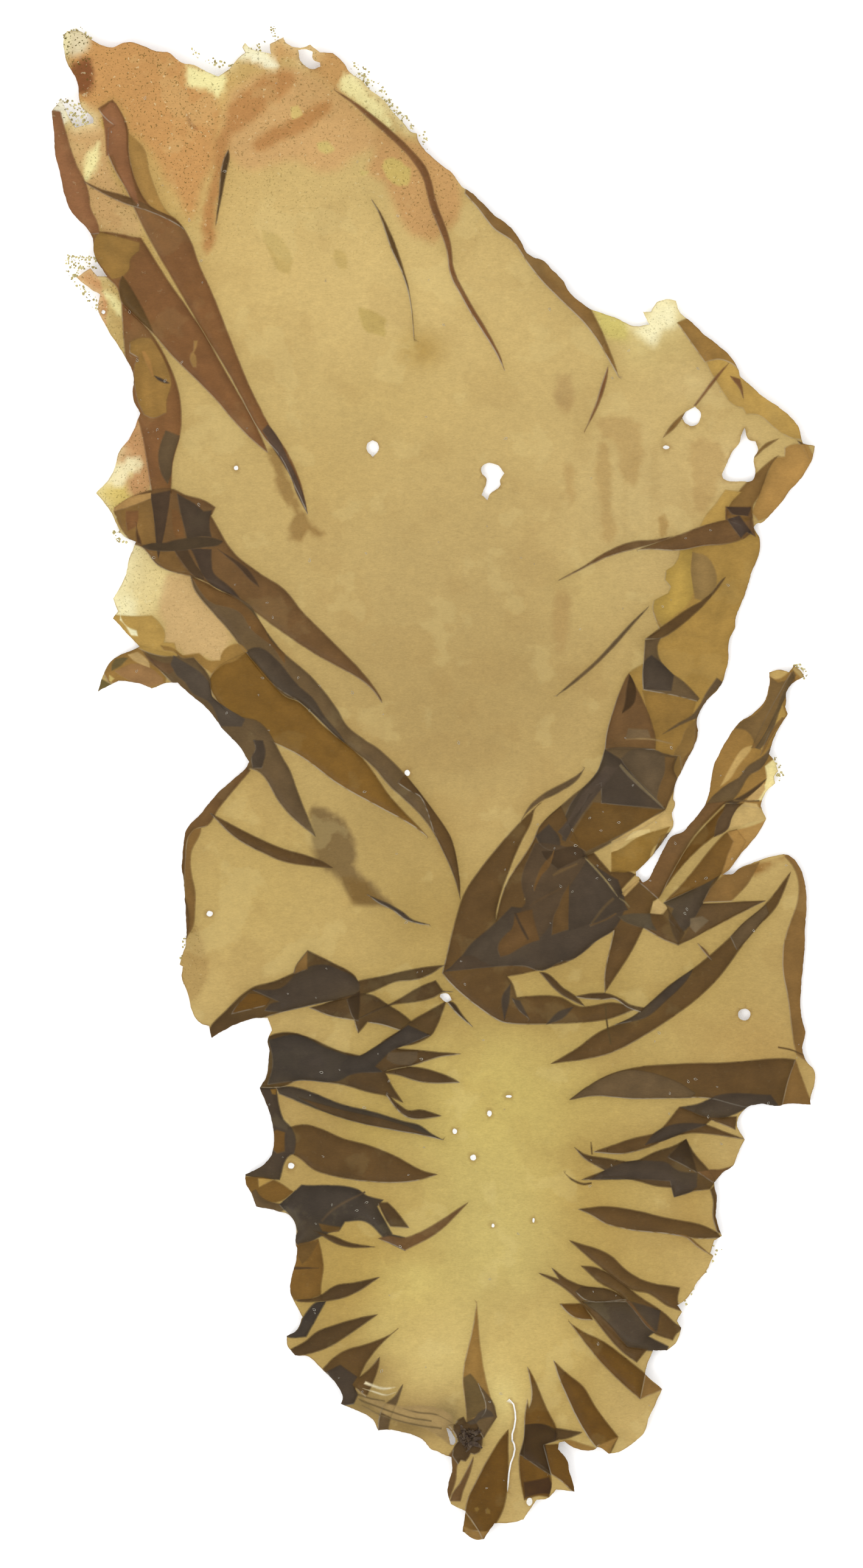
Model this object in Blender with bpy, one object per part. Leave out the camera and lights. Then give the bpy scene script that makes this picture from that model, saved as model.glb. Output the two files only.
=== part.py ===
"""A dried blade of a thin red seaweed, pressed flat with its pleats folded over and its foot at -Y.

The whole plant is one skin that grew as one piece. A single layer is the plate itself, and every
pleat or hem, where the skin lies on itself, stands above it as a low terrace.
"""

from math import cos, hypot, pi, sin

import bmesh
import bpy

MM = 0.001

# Real size of the pressed blade, and the middle of its outline on the sheet that it was pressed on
BLADE_WIDTH = 114.4
BLADE_LENGTH = 226.2
SHEET_MIDDLE = (57.3, 113.2)

# Thickness of one layer, and how much each layer folded over it adds
BLADE_THICKNESS = 0.6
LAYER_RISE = 0.28
UNEVEN_RISE = 0.03

# The blade starts as a plate as thick as its thickest fold, and the cutters reach past it
PLATE_TOP = BLADE_THICKNESS + 5 * LAYER_RISE
CUT_REACH = 10.0

# The skin is cut into square cells so that it can follow its lift, with a line through its weight
WEIGHT = (1.7, 2.4)
CELL = 9.0
SNAP = 0.03

# It touches the surface with a flat patch under its weight, so many cells from there to each side,
# and lifts and cockles a little from there to its margin
PATCH_CELLS = (2, 3)
LIFT_REACH = 110.0
MARGIN_LIFT = 1.4
COCKLE_HEIGHT = 0.45
COCKLE_START = 0.3
COCKLE_LENGTHS = (46.0, 58.0)

# The margin, point by point, in millimetres from the sheet's lower left corner
OUTLINE = [
    (2.3, 226.3), (4.2, 226.3), (6.0, 225.0), (7.8, 224.2), (9.1, 224.0), (11.5, 224.7), (13.2, 224.2),
    (16.0, 223.3), (17.6, 223.1), (18.7, 222.2), (19.9, 221.4), (21.3, 221.2), (24.1, 219.9),
    (25.0, 219.5), (26.5, 220.5), (28.0, 222.2), (29.0, 223.1), (28.6, 223.9), (29.0, 224.6),
    (30.0, 223.7), (32.9, 222.9), (32.7, 224.4), (34.8, 225.5), (35.1, 224.6), (37.0, 223.9),
    (38.8, 224.3), (40.2, 223.1), (42.2, 223.1), (43.6, 221.9), (44.7, 220.2), (46.6, 218.8),
    (47.9, 217.3), (49.9, 215.9), (51.3, 214.1), (53.1, 212.1), (53.9, 211.2), (54.8, 211.0),
    (55.0, 210.0), (56.6, 207.9), (58.9, 206.0), (59.9, 205.2), (61.5, 203.2), (63.2, 201.9),
    (65.0, 200.1), (66.5, 198.7), (68.9, 196.9), (70.1, 195.1), (71.3, 193.0), (72.3, 192.4),
    (73.6, 192.1), (75.4, 190.3), (76.7, 188.9), (77.2, 187.8), (78.9, 186.0), (81.0, 184.5),
    (84.4, 183.5), (85.9, 182.7), (87.5, 182.1), (89.7, 182.3), (88.6, 184.3), (89.9, 184.3),
    (90.8, 185.7), (92.7, 186.2), (93.7, 185.9), (94.3, 184.2), (95.9, 182.8), (97.8, 180.9),
    (100.1, 179.2), (102.2, 177.2), (102.8, 176.0), (103.2, 174.5), (104.8, 173.3), (106.5, 171.7),
    (108.7, 170.2), (110.3, 168.9), (112.0, 166.8), (112.7, 164.5), (114.5, 164.1), (113.9, 161.7),
    (112.9, 159.8), (110.8, 157.5), (109.7, 155.9), (108.0, 153.95), (106.6, 152.6), (105.8, 152.4),
    (105.35, 151.9), (106.0, 150.6), (106.2, 149.9), (105.95, 147.7), (104.9, 144.85), (104.6, 143.4),
    (103.7, 140.9), (102.7, 138.6), (102.5, 136.7), (101.9, 135.5), (101.6, 134.5), (101.4, 131.5),
    (101.1, 130.05), (100.7, 128.75), (99.9, 127.7), (98.75, 126.4), (98.0, 125.35), (96.9, 123.1),
    (96.85, 122.4), (97.0, 121.45), (96.4, 118.95), (94.95, 116.1), (93.9, 113.9), (93.3, 111.2),
    (93.5, 110.5), (93.0, 109.1), (93.3, 107.1), (92.4, 105.5), (91.3, 103.6), (90.0, 102.3),
    (89.1, 101.2), (87.7, 100.2), (87.65, 99.5), (88.1, 99.4), (88.7, 98.6), (89.6, 99.25),
    (90.4, 100.8), (91.0, 102.5), (91.8, 104.2), (92.7, 105.45), (94.7, 106.3), (95.9, 107.6),
    (97.2, 109.1), (98.2, 110.8), (98.75, 113.0), (99.4, 116.1), (100.45, 118.45), (101.75, 120.8),
    (102.9, 122.2), (105.0, 123.8), (106.9, 125.75), (107.7, 128.2), (107.7, 130.1), (109.1, 130.65),
    (110.65, 130.15), (111.35, 131.2), (112.5, 130.3), (113.05, 129.4), (111.6, 128.8), (110.3, 127.2),
    (110.25, 125.6), (110.0, 125.0), (110.4, 123.9), (109.5, 122.5), (107.95, 119.5), (107.65, 117.9),
    (108.55, 116.6), (109.0, 115.3), (108.4, 114.5), (108.5, 113.5), (107.1, 111.95), (106.4, 110.1),
    (107.2, 108.2), (106.6, 107.0), (105.0, 104.75), (103.3, 102.8), (101.6, 100.6), (100.6, 99.8),
    (102.15, 99.9), (103.2, 100.7), (106.1, 101.9), (108.7, 102.6), (110.1, 102.9), (110.8, 102.7),
    (112.5, 100.4), (113.1, 97.7), (113.2, 95.1), (113.0, 91.7), (112.75, 87.2), (112.5, 83.05),
    (112.4, 79.4), (113.1, 75.9), (112.7, 73.8), (113.3, 71.85), (114.4, 70.5), (114.5, 68.3),
    (113.9, 66.2), (114.0, 65.25), (110.5, 65.4), (109.1, 65.1), (106.5, 65.45), (104.4, 64.9),
    (103.05, 63.35), (102.8, 62.3), (104.05, 60.0), (102.7, 57.35), (102.2, 56.15), (100.6, 55.0),
    (99.4, 53.55), (99.85, 51.1), (99.65, 48.7), (100.5, 45.6), (99.4, 44.9), (98.75, 42.95),
    (99.3, 42.55), (97.95, 39.95), (96.9, 38.8), (95.3, 36.25), (93.8, 35.2), (94.65, 34.2),
    (93.8, 32.85), (94.5, 31.8), (93.85, 29.7), (92.3, 28.4), (90.25, 28.5), (89.45, 26.7), (89.1, 24.9),
    (91.6, 22.65), (90.4, 20.15), (89.5, 18.2), (88.75, 16.0), (87.4, 14.7), (85.0, 13.25), (83.6, 12.9),
    (82.4, 13.75), (81.9, 13.9), (81.5, 13.5), (80.2, 13.3), (78.6, 13.7), (77.05, 14.75), (76.1, 14.55),
    (76.05, 13.65), (77.4, 11.9), (77.65, 10.5), (78.4, 8.15), (78.5, 7.1), (75.7, 7.5), (74.65, 6.45),
    (72.8, 6.0), (71.5, 4.1), (70.75, 3.05), (69.2, 2.6), (66.4, 2.5), (64.9, 0.1), (63.7, 0.1),
    (61.6, 1.15), (62.0, 4.2), (60.55, 4.9), (59.75, 5.3), (59.35, 7.25), (60.2, 10.75), (59.95, 12.4),
    (58.05, 13.25), (57.0, 13.65), (55.55, 15.0), (51.65, 16.4), (49.0, 16.35), (48.25, 17.95),
    (45.65, 19.5), (43.4, 20.4), (43.65, 21.35), (42.6, 23.55), (40.6, 25.55), (38.55, 27.35),
    (36.5, 27.55), (35.45, 29.2), (35.2, 30.6), (36.6, 31.4), (37.65, 33.4), (36.7, 35.2), (35.85, 37.4),
    (35.9, 38.8), (36.8, 43.5), (36.55, 44.65), (36.6, 46.9), (35.65, 48.7), (33.95, 49.4),
    (30.7, 49.95), (30.0, 51.85), (29.05, 53.55), (29.1, 54.8), (32.0, 56.45), (33.25, 58.5),
    (33.15, 61.15), (32.85, 63.6), (31.2, 67.8), (32.0, 69.1), (32.65, 73.3), (32.35, 75.0),
    (33.1, 76.4), (32.35, 78.3), (30.4, 78.2), (26.6, 76.8), (24.0, 75.2), (23.6, 77.0), (22.3, 77.55),
    (21.0, 79.6), (20.35, 82.0), (19.5, 84.25), (19.7, 85.95), (19.25, 86.3), (20.2, 90.1), (20.2, 93.0),
    (19.75, 98.5), (19.6, 102.15), (20.2, 106.6), (22.3, 108.95), (25.05, 111.95), (29.0, 115.85),
    (29.6, 116.7), (28.3, 119.0), (25.7, 121.6), (23.6, 124.4), (20.5, 127.1), (18.9, 128.6),
    (17.2, 128.5), (15.0, 127.7), (12.6, 128.6), (10.0, 129.0), (6.9, 127.2), (7.8, 129.9), (9.0, 131.9),
    (13.2, 134.0), (11.6, 135.6), (9.2, 138.2), (10.0, 139.3), (9.2, 141.2), (11.1, 144.6),
    (11.6, 147.2), (12.6, 149.7), (10.6, 150.7), (8.7, 154.6), (6.6, 157.0), (9.2, 160.1), (10.3, 163.5),
    (11.6, 165.1), (13.2, 169.0), (12.25, 171.3), (12.25, 175.0), (10.8, 177.7), (8.1, 182.2),
    (7.0, 184.2), (7.2, 186.8), (5.6, 187.8), (3.6, 189.4), (5.8, 190.7), (6.8, 189.5), (8.4, 189.5),
    (6.3, 192.7), (6.1, 195.5), (2.8, 199.8), (0.9, 205.9), (0.6, 207.5), (0.4, 210.5), (0.1, 214.3),
    (1.5, 216.1), (2.8, 213.0), (3.6, 211.9), (6.2, 212.6), (6.2, 213.3), (4.3, 215.4), (3.7, 219.0),
    (2.1, 222.0), (1.8, 225.0)]

# Real holes that are wide enough to matter at this size
HOLES = {
    "crest": [(37.0, 223.5), (38.0, 223.6), (39.1, 223.2), (39.2, 222.2), (40.3, 221.6), (40.3, 221.0),
              (39.1, 220.6), (38.0, 221.1), (37.2, 222.2)],
    "shoulder": [(96.5, 170.0), (97.2, 169.4), (97.4, 168.6), (96.9, 167.4), (96.0, 167.1), (95.1, 167.5),
                 (94.6, 168.3), (95.2, 169.2)],
    "corner": [(104.0, 166.8), (104.2, 165.8), (104.8, 164.9), (105.6, 164.8), (106.0, 163.5), (105.3, 162.3),
               (105.6, 160.0), (105.0, 158.9), (103.5, 158.8), (101.0, 159.0), (100.6, 159.6), (101.2, 161.1),
               (102.2, 163.4), (103.2, 164.5), (103.4, 165.6)],
    "egg": [(48.2, 162.4), (49.0, 163.4), (48.9, 164.5), (48.2, 165.0), (47.4, 164.5), (47.3, 163.4)],
    "hook": [(64.5, 160.0), (64.4, 160.6), (64.85, 161.3), (66.0, 161.5), (67.1, 161.1), (67.9, 160.0),
             (67.3, 159.0), (67.3, 158.1), (65.7, 156.8), (65.4, 155.9), (64.5, 156.7), (64.8, 157.5),
             (65.2, 159.3)],
    "waist": [(58.25, 81.5), (58.45, 81.9), (59.1, 82.05), (59.6, 81.75), (60.05, 80.95), (59.2, 80.7),
              (58.7, 80.95)],
    "slit": [(59.2, 16.75), (59.55, 16.55), (60.15, 15.85), (60.65, 14.55), (60.3, 14.15), (59.75, 14.3),
             (59.5, 15.85)],
}

# Pleats and hems: how many layers lie there, and their outline
FOLDS = {
    "first_long": (3, [
        (7.0, 214.7), (8.1, 213.3), (9.5, 212.2), (8.5, 211.7), (8.5, 208.0), (9.2, 206.2),
        (11.7, 201.6), (12.3, 199.9), (13.7, 197.3), (16.3, 192.6), (18.9, 188.1), (20.5, 185.1),
        (23.1, 180.8), (26.8, 174.5), (30.4, 167.9), (31.7, 165.7), (34.2, 162.7), (36.7, 157.7),
        (38.4, 153.9), (37.6, 157.7), (35.4, 163.0), (32.5, 167.4), (29.8, 172.8), (27.3, 178.7),
        (25.5, 183.4), (24.2, 186.8), (22.3, 190.8), (20.8, 195.0), (18.7, 198.0), (15.0, 199.9),
        (12.6, 203.8), (11.6, 207.8), (11.3, 212.0), (10.3, 214.3), (9.1, 216.0)]),
    "second_long": (3, [
        (6.0, 191.0), (8.6, 189.1), (9.9, 187.7), (10.5, 185.7), (12.1, 183.9), (15.0, 181.1),
        (17.9, 177.9), (21.5, 174.2), (24.4, 171.3), (27.0, 168.2), (30.2, 164.9), (32.4, 163.1),
        (30.7, 166.9), (28.3, 171.3), (24.9, 177.1), (20.8, 184.2), (18.1, 187.9), (15.0, 192.9),
        (13.4, 195.3), (10.0, 195.8), (7.2, 196.2), (5.6, 196.0)]),
    "left_strip": (3, [
        (1.3, 214.3), (1.8, 212.7), (2.6, 209.6), (3.9, 205.9), (4.9, 204.1), (5.6, 201.8), (5.8, 199.9),
        (7.0, 197.3), (7.2, 196.0), (5.2, 195.8), (2.0, 199.6), (0.1, 205.9), (-0.4, 210.5),
        (-0.6, 214.6)]),
    "third_strip": (3, [
        (10.5, 185.7), (10.7, 181.0), (11.1, 177.1), (11.5, 175.0), (11.5, 171.0), (12.6, 169.0),
        (13.3, 165.9), (14.1, 161.7), (14.9, 157.7), (15.4, 151.4), (16.0, 147.1), (17.0, 151.4),
        (17.9, 157.7), (18.1, 161.4), (19.3, 165.8), (19.5, 168.5), (19.05, 172.5), (17.4, 176.8),
        (15.3, 180.5), (12.5, 183.6)]),
    "fifth_long": (3, [
        (42.4, 217.5), (44.8, 216.1), (48.2, 213.7), (51.4, 210.8), (54.8, 207.6), (56.4, 205.3),
        (57.8, 200.5), (59.75, 194.7), (60.3, 190.8), (62.1, 186.9), (65.5, 181.0), (67.3, 177.6),
        (68.0, 175.3), (66.5, 178.4), (64.2, 182.1), (61.8, 186.0), (60.0, 189.5), (59.2, 193.7),
        (56.9, 199.9), (55.4, 205.0), (53.2, 207.4), (50.1, 210.6), (46.7, 214.0), (44.8, 215.7)]),
    "ninth_margin": (3, [
        (62.3, 203.6), (65.4, 200.5), (69.3, 197.3), (71.5, 193.6), (73.8, 192.8), (77.4, 188.9),
        (80.2, 185.6), (82.5, 181.0), (84.4, 176.8), (85.1, 174.4), (83.3, 177.4), (80.7, 181.7),
        (77.6, 184.9), (74.1, 188.3), (71.3, 191.8), (69.3, 194.7), (66.3, 196.8), (63.9, 199.9),
        (62.0, 202.0)]),
    "corner_hem": (2, [
        (98.2, 176.6), (100.1, 173.2), (101.1, 171.9), (102.2, 170.3), (103.7, 169.8), (104.2, 168.9),
        (106.1, 168.7), (108.7, 166.6), (111.0, 165.3), (113.6, 165.0), (112.6, 167.4), (108.9, 171.0),
        (104.8, 174.3), (103.4, 177.2), (100.4, 180.2), (98.0, 178.0)]),
    "corner_band": (3, [
        (108.95, 162.6), (107.4, 161.5), (105.0, 158.8), (103.7, 157.5), (101.5, 154.9), (101.1, 153.3),
        (105.2, 153.3), (105.2, 155.1), (106.1, 156.7), (108.2, 161.7)]),
    "side_hem": (2, [
        (94.3, 148.5), (94.05, 147.2), (93.25, 146.0), (92.2, 145.35), (91.95, 144.05), (92.75, 143.0),
        (92.5, 141.95), (90.4, 140.9), (90.25, 139.9), (90.65, 138.55), (91.3, 136.4), (88.95, 135.0),
        (88.8, 131.4), (86.6, 130.05), (85.0, 126.6), (83.2, 120.0), (83.0, 118.0), (94.3, 117.6),
        (94.6, 115.0), (97.4, 119.0), (97.8, 122.4), (98.8, 125.4), (101.6, 128.5), (102.4, 134.5),
        (103.4, 138.6), (105.6, 143.4), (106.9, 149.0), (106.9, 150.2), (105.2, 151.6), (98.0, 149.4)]),
    "side_top": (3, [
        (87.75, 148.5), (90.1, 149.3), (93.0, 150.45), (97.45, 151.8), (101.1, 152.95), (104.9, 153.1),
        (104.75, 150.85), (103.45, 149.95), (101.1, 149.35), (97.95, 149.15), (93.8, 148.5),
        (89.6, 148.6)]),
    "side_fin": (3, [
        (86.6, 130.05), (87.25, 128.75), (88.8, 125.75), (89.85, 123.15), (90.65, 120.4), (90.6, 118.6),
        (83.05, 118.55), (83.45, 121.55), (84.9, 125.9), (86.05, 128.9)]),
    "side_wedge": (3, [
        (88.95, 135.05), (91.45, 135.3), (90.9, 134.1), (91.45, 131.75), (93.8, 129.55), (95.35, 128.25),
        (97.25, 126.15), (96.9, 125.75), (93.8, 126.65), (88.75, 127.6), (88.7, 128.9), (88.9, 133.85)]),
    "side_lower": (3, [
        (83.05, 118.55), (85.15, 118.9), (88.0, 118.75), (90.65, 118.2), (93.9, 117.5), (93.3, 115.5),
        (93.9, 114.2), (92.6, 111.2), (91.95, 109.45), (89.1, 107.65), (85.95, 105.8), (83.05, 103.95),
        (80.05, 102.45), (76.0, 100.5), (72.0, 104.0), (73.2, 107.0), (75.45, 109.05), (78.0, 111.5),
        (79.9, 113.0), (81.9, 115.3)]),
    "left_upper": (3, [
        (17.9, 157.7), (20.1, 156.7), (22.8, 155.9), (24.5, 154.9), (23.9, 153.6), (25.5, 150.9),
        (27.5, 147.9), (31.2, 145.0), (34.9, 142.6), (37.5, 139.4), (39.9, 137.0), (42.0, 134.8),
        (43.9, 132.8), (46.0, 130.85), (47.7, 128.75), (49.3, 126.4), (49.6, 125.6), (48.0, 127.7),
        (46.0, 129.3), (43.0, 131.0), (40.0, 132.55), (37.2, 134.4), (33.8, 136.7), (29.4, 139.9),
        (25.7, 142.1), (22.8, 143.9), (18.9, 145.2), (16.0, 146.2), (13.7, 148.8), (12.0, 149.6),
        (11.4, 150.8), (9.4, 154.8), (12.0, 156.5)]),
    "left_middle": (3, [
        (20.8, 144.7), (21.5, 142.5), (23.9, 139.4), (26.8, 136.2), (29.4, 132.7), (32.8, 128.9),
        (35.1, 126.5), (37.0, 125.75), (40.4, 122.5), (43.0, 120.25), (45.9, 117.9), (48.25, 115.95),
        (50.1, 113.8), (52.15, 111.55), (54.25, 109.6), (56.2, 107.65), (57.65, 105.3), (59.1, 102.65),
        (60.55, 98.75), (61.3, 96.1), (61.1, 99.65), (60.65, 102.4), (60.0, 104.9), (58.3, 107.9),
        (56.6, 110.1), (54.8, 112.6), (52.95, 114.8), (50.7, 117.0), (48.8, 118.8), (46.95, 120.0),
        (44.2, 122.25), (43.0, 124.3), (40.9, 126.95), (39.35, 129.0), (37.2, 131.0), (34.6, 133.3),
        (32.0, 136.5), (29.6, 140.3), (24.2, 142.8)]),
    "left_broad": (3, [
        (23.6, 129.0), (24.7, 130.7), (27.5, 132.2), (29.1, 133.2), (32.8, 128.9), (35.1, 126.5),
        (37.0, 125.7), (40.4, 122.4), (43.0, 120.2), (46.8, 117.0), (48.5, 114.7), (50.6, 111.7),
        (53.75, 108.15), (55.3, 106.6), (56.5, 105.4), (54.0, 107.25), (50.1, 109.35), (46.15, 111.55),
        (42.75, 113.65), (39.35, 115.95), (37.2, 117.7), (32.8, 119.9), (30.7, 120.8), (28.3, 122.4),
        (25.5, 125.5), (24.2, 126.8)]),
    "left_edge_fold": (3, [
        (13.2, 134.3), (16.3, 132.6), (18.1, 131.8), (18.4, 132.7), (20.8, 131.2), (22.1, 130.5),
        (23.4, 128.9), (24.0, 126.5), (26.2, 124.8), (28.6, 123.5), (31.1, 122.7), (33.3, 119.5),
        (34.6, 117.4), (35.9, 114.95), (36.85, 112.35), (37.75, 110.0), (39.2, 106.7), (39.55, 105.5),
        (38.05, 106.85), (35.9, 108.55), (34.2, 110.5), (33.15, 112.2), (31.75, 114.3), (31.2, 115.1),
        (29.8, 115.7), (28.9, 115.0), (27.2, 119.2), (22.8, 124.2), (20.0, 126.5), (18.6, 127.8),
        (17.0, 129.4), (14.6, 131.5), (10.6, 132.2)]),
    "margin_strip": (3, [
        (29.8, 115.4), (28.45, 113.8), (26.5, 111.3), (25.05, 109.6), (23.35, 107.25), (21.4, 106.6),
        (20.5, 105.4), (20.1, 102.9), (20.05, 99.0), (20.0, 97.0), (20.6, 94.5), (20.9, 92.2),
        (20.2, 90.1), (19.4, 91.5), (19.0, 98.5), (18.9, 103.0), (19.6, 107.2), (24.5, 112.5),
        (28.4, 116.2)]),
    "waist_cross": (3, [
        (23.75, 109.05), (26.75, 107.5), (29.4, 105.95), (32.0, 104.75), (34.6, 103.7), (38.3, 102.55),
        (40.65, 101.75), (42.2, 100.85), (38.3, 101.2), (34.6, 101.8), (32.25, 102.8), (29.9, 104.25),
        (27.3, 105.65), (25.45, 107.35)]),
    "hip_left": (3, [
        (23.95, 77.2), (25.7, 79.0), (27.95, 81.1), (30.05, 82.85), (33.3, 83.7), (36.3, 84.95),
        (36.7, 86.2), (38.45, 88.4), (41.7, 86.85), (44.2, 85.3), (45.6, 84.5), (45.9, 83.85),
        (50.1, 84.65), (54.5, 85.55), (57.4, 86.1), (60.0, 86.25), (58.7, 85.95), (56.9, 84.9),
        (54.8, 84.1), (51.65, 83.7), (48.0, 82.25), (45.65, 81.35), (41.7, 80.8), (37.0, 79.8),
        (34.1, 79.0), (31.45, 78.2), (30.0, 77.6), (26.6, 76.3), (24.0, 74.6), (23.4, 76.0)]),
    "hip_left_dark": (5, [
        (30.05, 82.5), (34.6, 82.9), (37.0, 85.2), (40.7, 86.3), (43.3, 85.5), (45.6, 84.3),
        (46.2, 83.2), (46.1, 82.3), (44.3, 81.15), (41.7, 80.8), (37.5, 79.85), (34.1, 79.15),
        (32.0, 79.4), (32.8, 80.4), (34.1, 80.7), (31.2, 82.0)]),
    "hip_lower": (3, [
        (38.55, 79.8), (41.95, 80.6), (45.65, 81.3), (47.6, 81.75), (50.35, 80.3), (52.7, 78.85),
        (54.8, 77.05), (56.75, 75.65), (52.3, 76.5), (50.1, 77.15), (47.45, 77.7), (45.95, 76.0),
        (45.35, 77.95), (41.95, 78.6)]),
    "hip_kite": (3, [
        (59.1, 80.7), (56.35, 79.15), (53.75, 77.7), (51.9, 76.1), (50.1, 75.0), (52.7, 74.1),
        (54.8, 74.9), (56.75, 75.65), (57.9, 77.4), (58.7, 79.4)]),
    "side_cluster": (3, [
        (31.2, 67.9), (32.0, 70.0), (32.0, 75.0), (33.4, 75.9), (36.7, 76.05), (39.6, 74.8),
        (42.9, 73.35), (46.15, 72.65), (48.0, 73.6), (50.1, 75.1), (53.5, 77.2), (56.7, 75.7),
        (53.75, 74.45), (51.9, 73.7), (54.8, 73.35), (57.9, 73.15), (61.45, 72.9), (57.9, 72.4),
        (54.25, 71.15), (50.1, 70.3), (51.65, 70.7), (54.25, 70.95), (57.4, 69.95), (59.75, 69.4),
        (61.25, 68.6), (57.9, 68.65), (55.3, 68.7), (51.65, 69.85), (50.1, 70.0), (51.1, 68.05),
        (52.7, 65.6), (50.6, 66.5), (47.45, 67.15), (44.05, 68.2), (40.9, 68.7), (36.7, 68.9),
        (34.9, 67.95)]),
    "side_cluster_dark": (5, [
        (32.5, 75.0), (36.7, 75.8), (41.7, 73.6), (46.15, 72.65), (48.0, 73.6), (51.9, 76.1),
        (53.5, 77.2), (56.6, 75.7), (53.75, 74.45), (51.5, 73.6), (49.6, 72.1), (48.5, 71.0),
        (49.55, 70.15), (45.0, 69.75), (43.0, 68.8), (37.0, 68.9), (32.4, 68.3), (33.2, 71.5)]),
    "side_finger": (3, [
        (33.7, 67.8), (34.9, 68.0), (36.2, 67.95), (39.35, 66.75), (43.55, 65.3), (48.25, 64.15),
        (52.7, 62.85), (55.2, 62.25), (57.15, 60.85), (58.7, 59.95), (55.3, 60.8), (50.85, 61.6),
        (46.15, 62.7), (43.8, 63.2), (39.6, 64.9), (36.95, 65.85), (34.1, 66.9)]),
    "side_leaf": (3, [
        (35.4, 61.9), (38.05, 62.3), (40.0, 61.75), (43.55, 60.25), (47.45, 59.15), (51.4, 57.55),
        (55.3, 55.5), (57.9, 54.8), (55.3, 53.95), (51.1, 53.55), (46.95, 53.75), (43.0, 54.45),
        (39.35, 55.5), (37.0, 57.35), (35.7, 58.0), (35.2, 60.0)]),
    "lower_left": (5, [
        (34.2, 50.3), (36.3, 52.25), (37.5, 53.2), (40.9, 52.9), (45.9, 52.6), (47.2, 51.7),
        (49.8, 51.05), (48.9, 50.0), (50.1, 48.0), (51.25, 45.85), (52.95, 45.35), (52.95, 43.45),
        (50.6, 44.65), (49.05, 46.1), (46.95, 47.7), (44.05, 47.7), (43.3, 46.5), (41.6, 46.05),
        (40.3, 45.45), (38.3, 44.5), (36.9, 44.2), (36.2, 45.0), (36.9, 46.2), (36.2, 48.05)]),
    "lower_left_sabre": (2, [
        (49.05, 45.2), (50.8, 45.6), (52.95, 45.35), (54.8, 45.95), (57.9, 47.8), (60.0, 49.05),
        (62.5, 50.65), (60.55, 48.7), (58.95, 47.0), (57.15, 45.65), (55.3, 44.55), (52.95, 43.45),
        (51.5, 44.25)]),
    "thigh_flap": (2, [
        (36.6, 44.2), (38.3, 44.6), (40.0, 45.1), (40.3, 43.5), (40.65, 42.2), (40.85, 41.0),
        (40.4, 38.0), (40.4, 36.7), (38.3, 36.0), (36.4, 36.0), (35.4, 37.4), (35.4, 39.0), (36.2, 43.4)]),
    "thigh_pleat": (3, [
        (36.4, 36.0), (39.6, 36.4), (41.2, 37.15), (42.75, 38.2), (45.1, 38.5), (47.45, 39.05),
        (49.25, 39.45), (48.0, 38.6), (46.15, 37.4), (43.3, 36.2), (39.6, 35.7), (37.0, 35.7)]),
    "thigh_spear": (3, [
        (35.8, 28.55), (38.05, 29.7), (39.9, 31.15), (42.5, 32.15), (46.15, 33.3), (48.9, 33.8),
        (46.4, 32.05), (43.3, 30.0), (40.9, 28.6), (38.3, 28.05), (36.3, 27.4)]),
    "knee_big": (3, [
        (40.65, 25.65), (42.25, 27.25), (44.3, 28.5), (46.95, 29.3), (50.6, 30.7), (52.0, 31.7),
        (50.1, 30.0), (48.25, 27.9), (46.95, 26.2), (46.15, 24.35), (47.7, 25.65), (49.15, 27.4),
        (49.05, 25.9), (48.25, 23.95), (47.2, 21.35), (45.65, 22.8), (45.3, 20.4), (43.2, 20.1),
        (43.2, 21.5), (42.0, 23.8)]),
    "foot_spear": (2, [
        (63.8, 35.65), (64.05, 32.7), (64.45, 28.55), (65.45, 23.05), (65.75, 21.35), (66.85, 18.45),
        (65.9, 17.0), (64.6, 15.3), (62.2, 17.0), (62.15, 19.1), (61.7, 24.35), (62.25, 27.25),
        (63.15, 31.7)]),
    "foot_leaf": (3, [
        (68.5, 16.5), (67.05, 14.55), (65.75, 12.6), (64.45, 9.95), (63.0, 7.35), (62.35, 6.05),
        (62.0, 4.2), (63.15, 2.4), (63.95, 1.35), (64.9, -0.4), (66.1, 1.6), (66.8, 2.9), (67.75, 4.75),
        (68.4, 8.15), (68.5, 11.3)]),
    "foot_fin": (3, [
        (71.4, 25.9), (71.8, 23.85), (72.0, 21.2), (71.65, 19.8), (71.4, 21.1), (71.0, 18.85),
        (70.75, 14.95), (70.2, 12.85), (70.25, 9.7), (70.9, 5.9), (73.1, 6.55), (74.65, 6.4),
        (75.05, 8.4), (74.8, 10.25), (73.85, 14.15), (76.0, 14.9), (75.55, 17.05), (74.4, 19.4),
        (73.35, 21.85), (72.3, 24.35)]),
    "shin_first": (3, [
        (75.3, 26.9), (77.05, 25.15), (79.9, 22.8), (81.6, 20.05), (83.85, 16.9), (85.0, 15.35),
        (83.6, 12.4), (82.0, 13.6), (80.3, 15.7), (78.9, 18.35), (77.05, 22.25), (76.0, 24.6)]),
    "shin_second": (3, [
        (77.55, 32.7), (79.4, 31.4), (82.8, 29.7), (85.15, 28.0), (89.1, 24.9), (88.3, 21.1),
        (86.2, 22.9), (83.05, 26.05), (79.9, 29.85)]),
    "calf_upper": (3, [
        (77.7, 44.9), (80.95, 43.75), (83.6, 42.75), (86.2, 40.45), (88.55, 39.05), (91.15, 38.4),
        (94.2, 37.8), (93.9, 36.0), (94.4, 34.3), (92.5, 34.95), (89.6, 36.9), (87.25, 37.45),
        (83.85, 39.8), (80.95, 42.05)]),
    "calf_middle": (3, [
        (79.4, 41.1), (81.75, 40.85), (85.0, 39.05), (88.3, 36.4), (91.7, 34.15), (94.0, 32.2),
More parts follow.
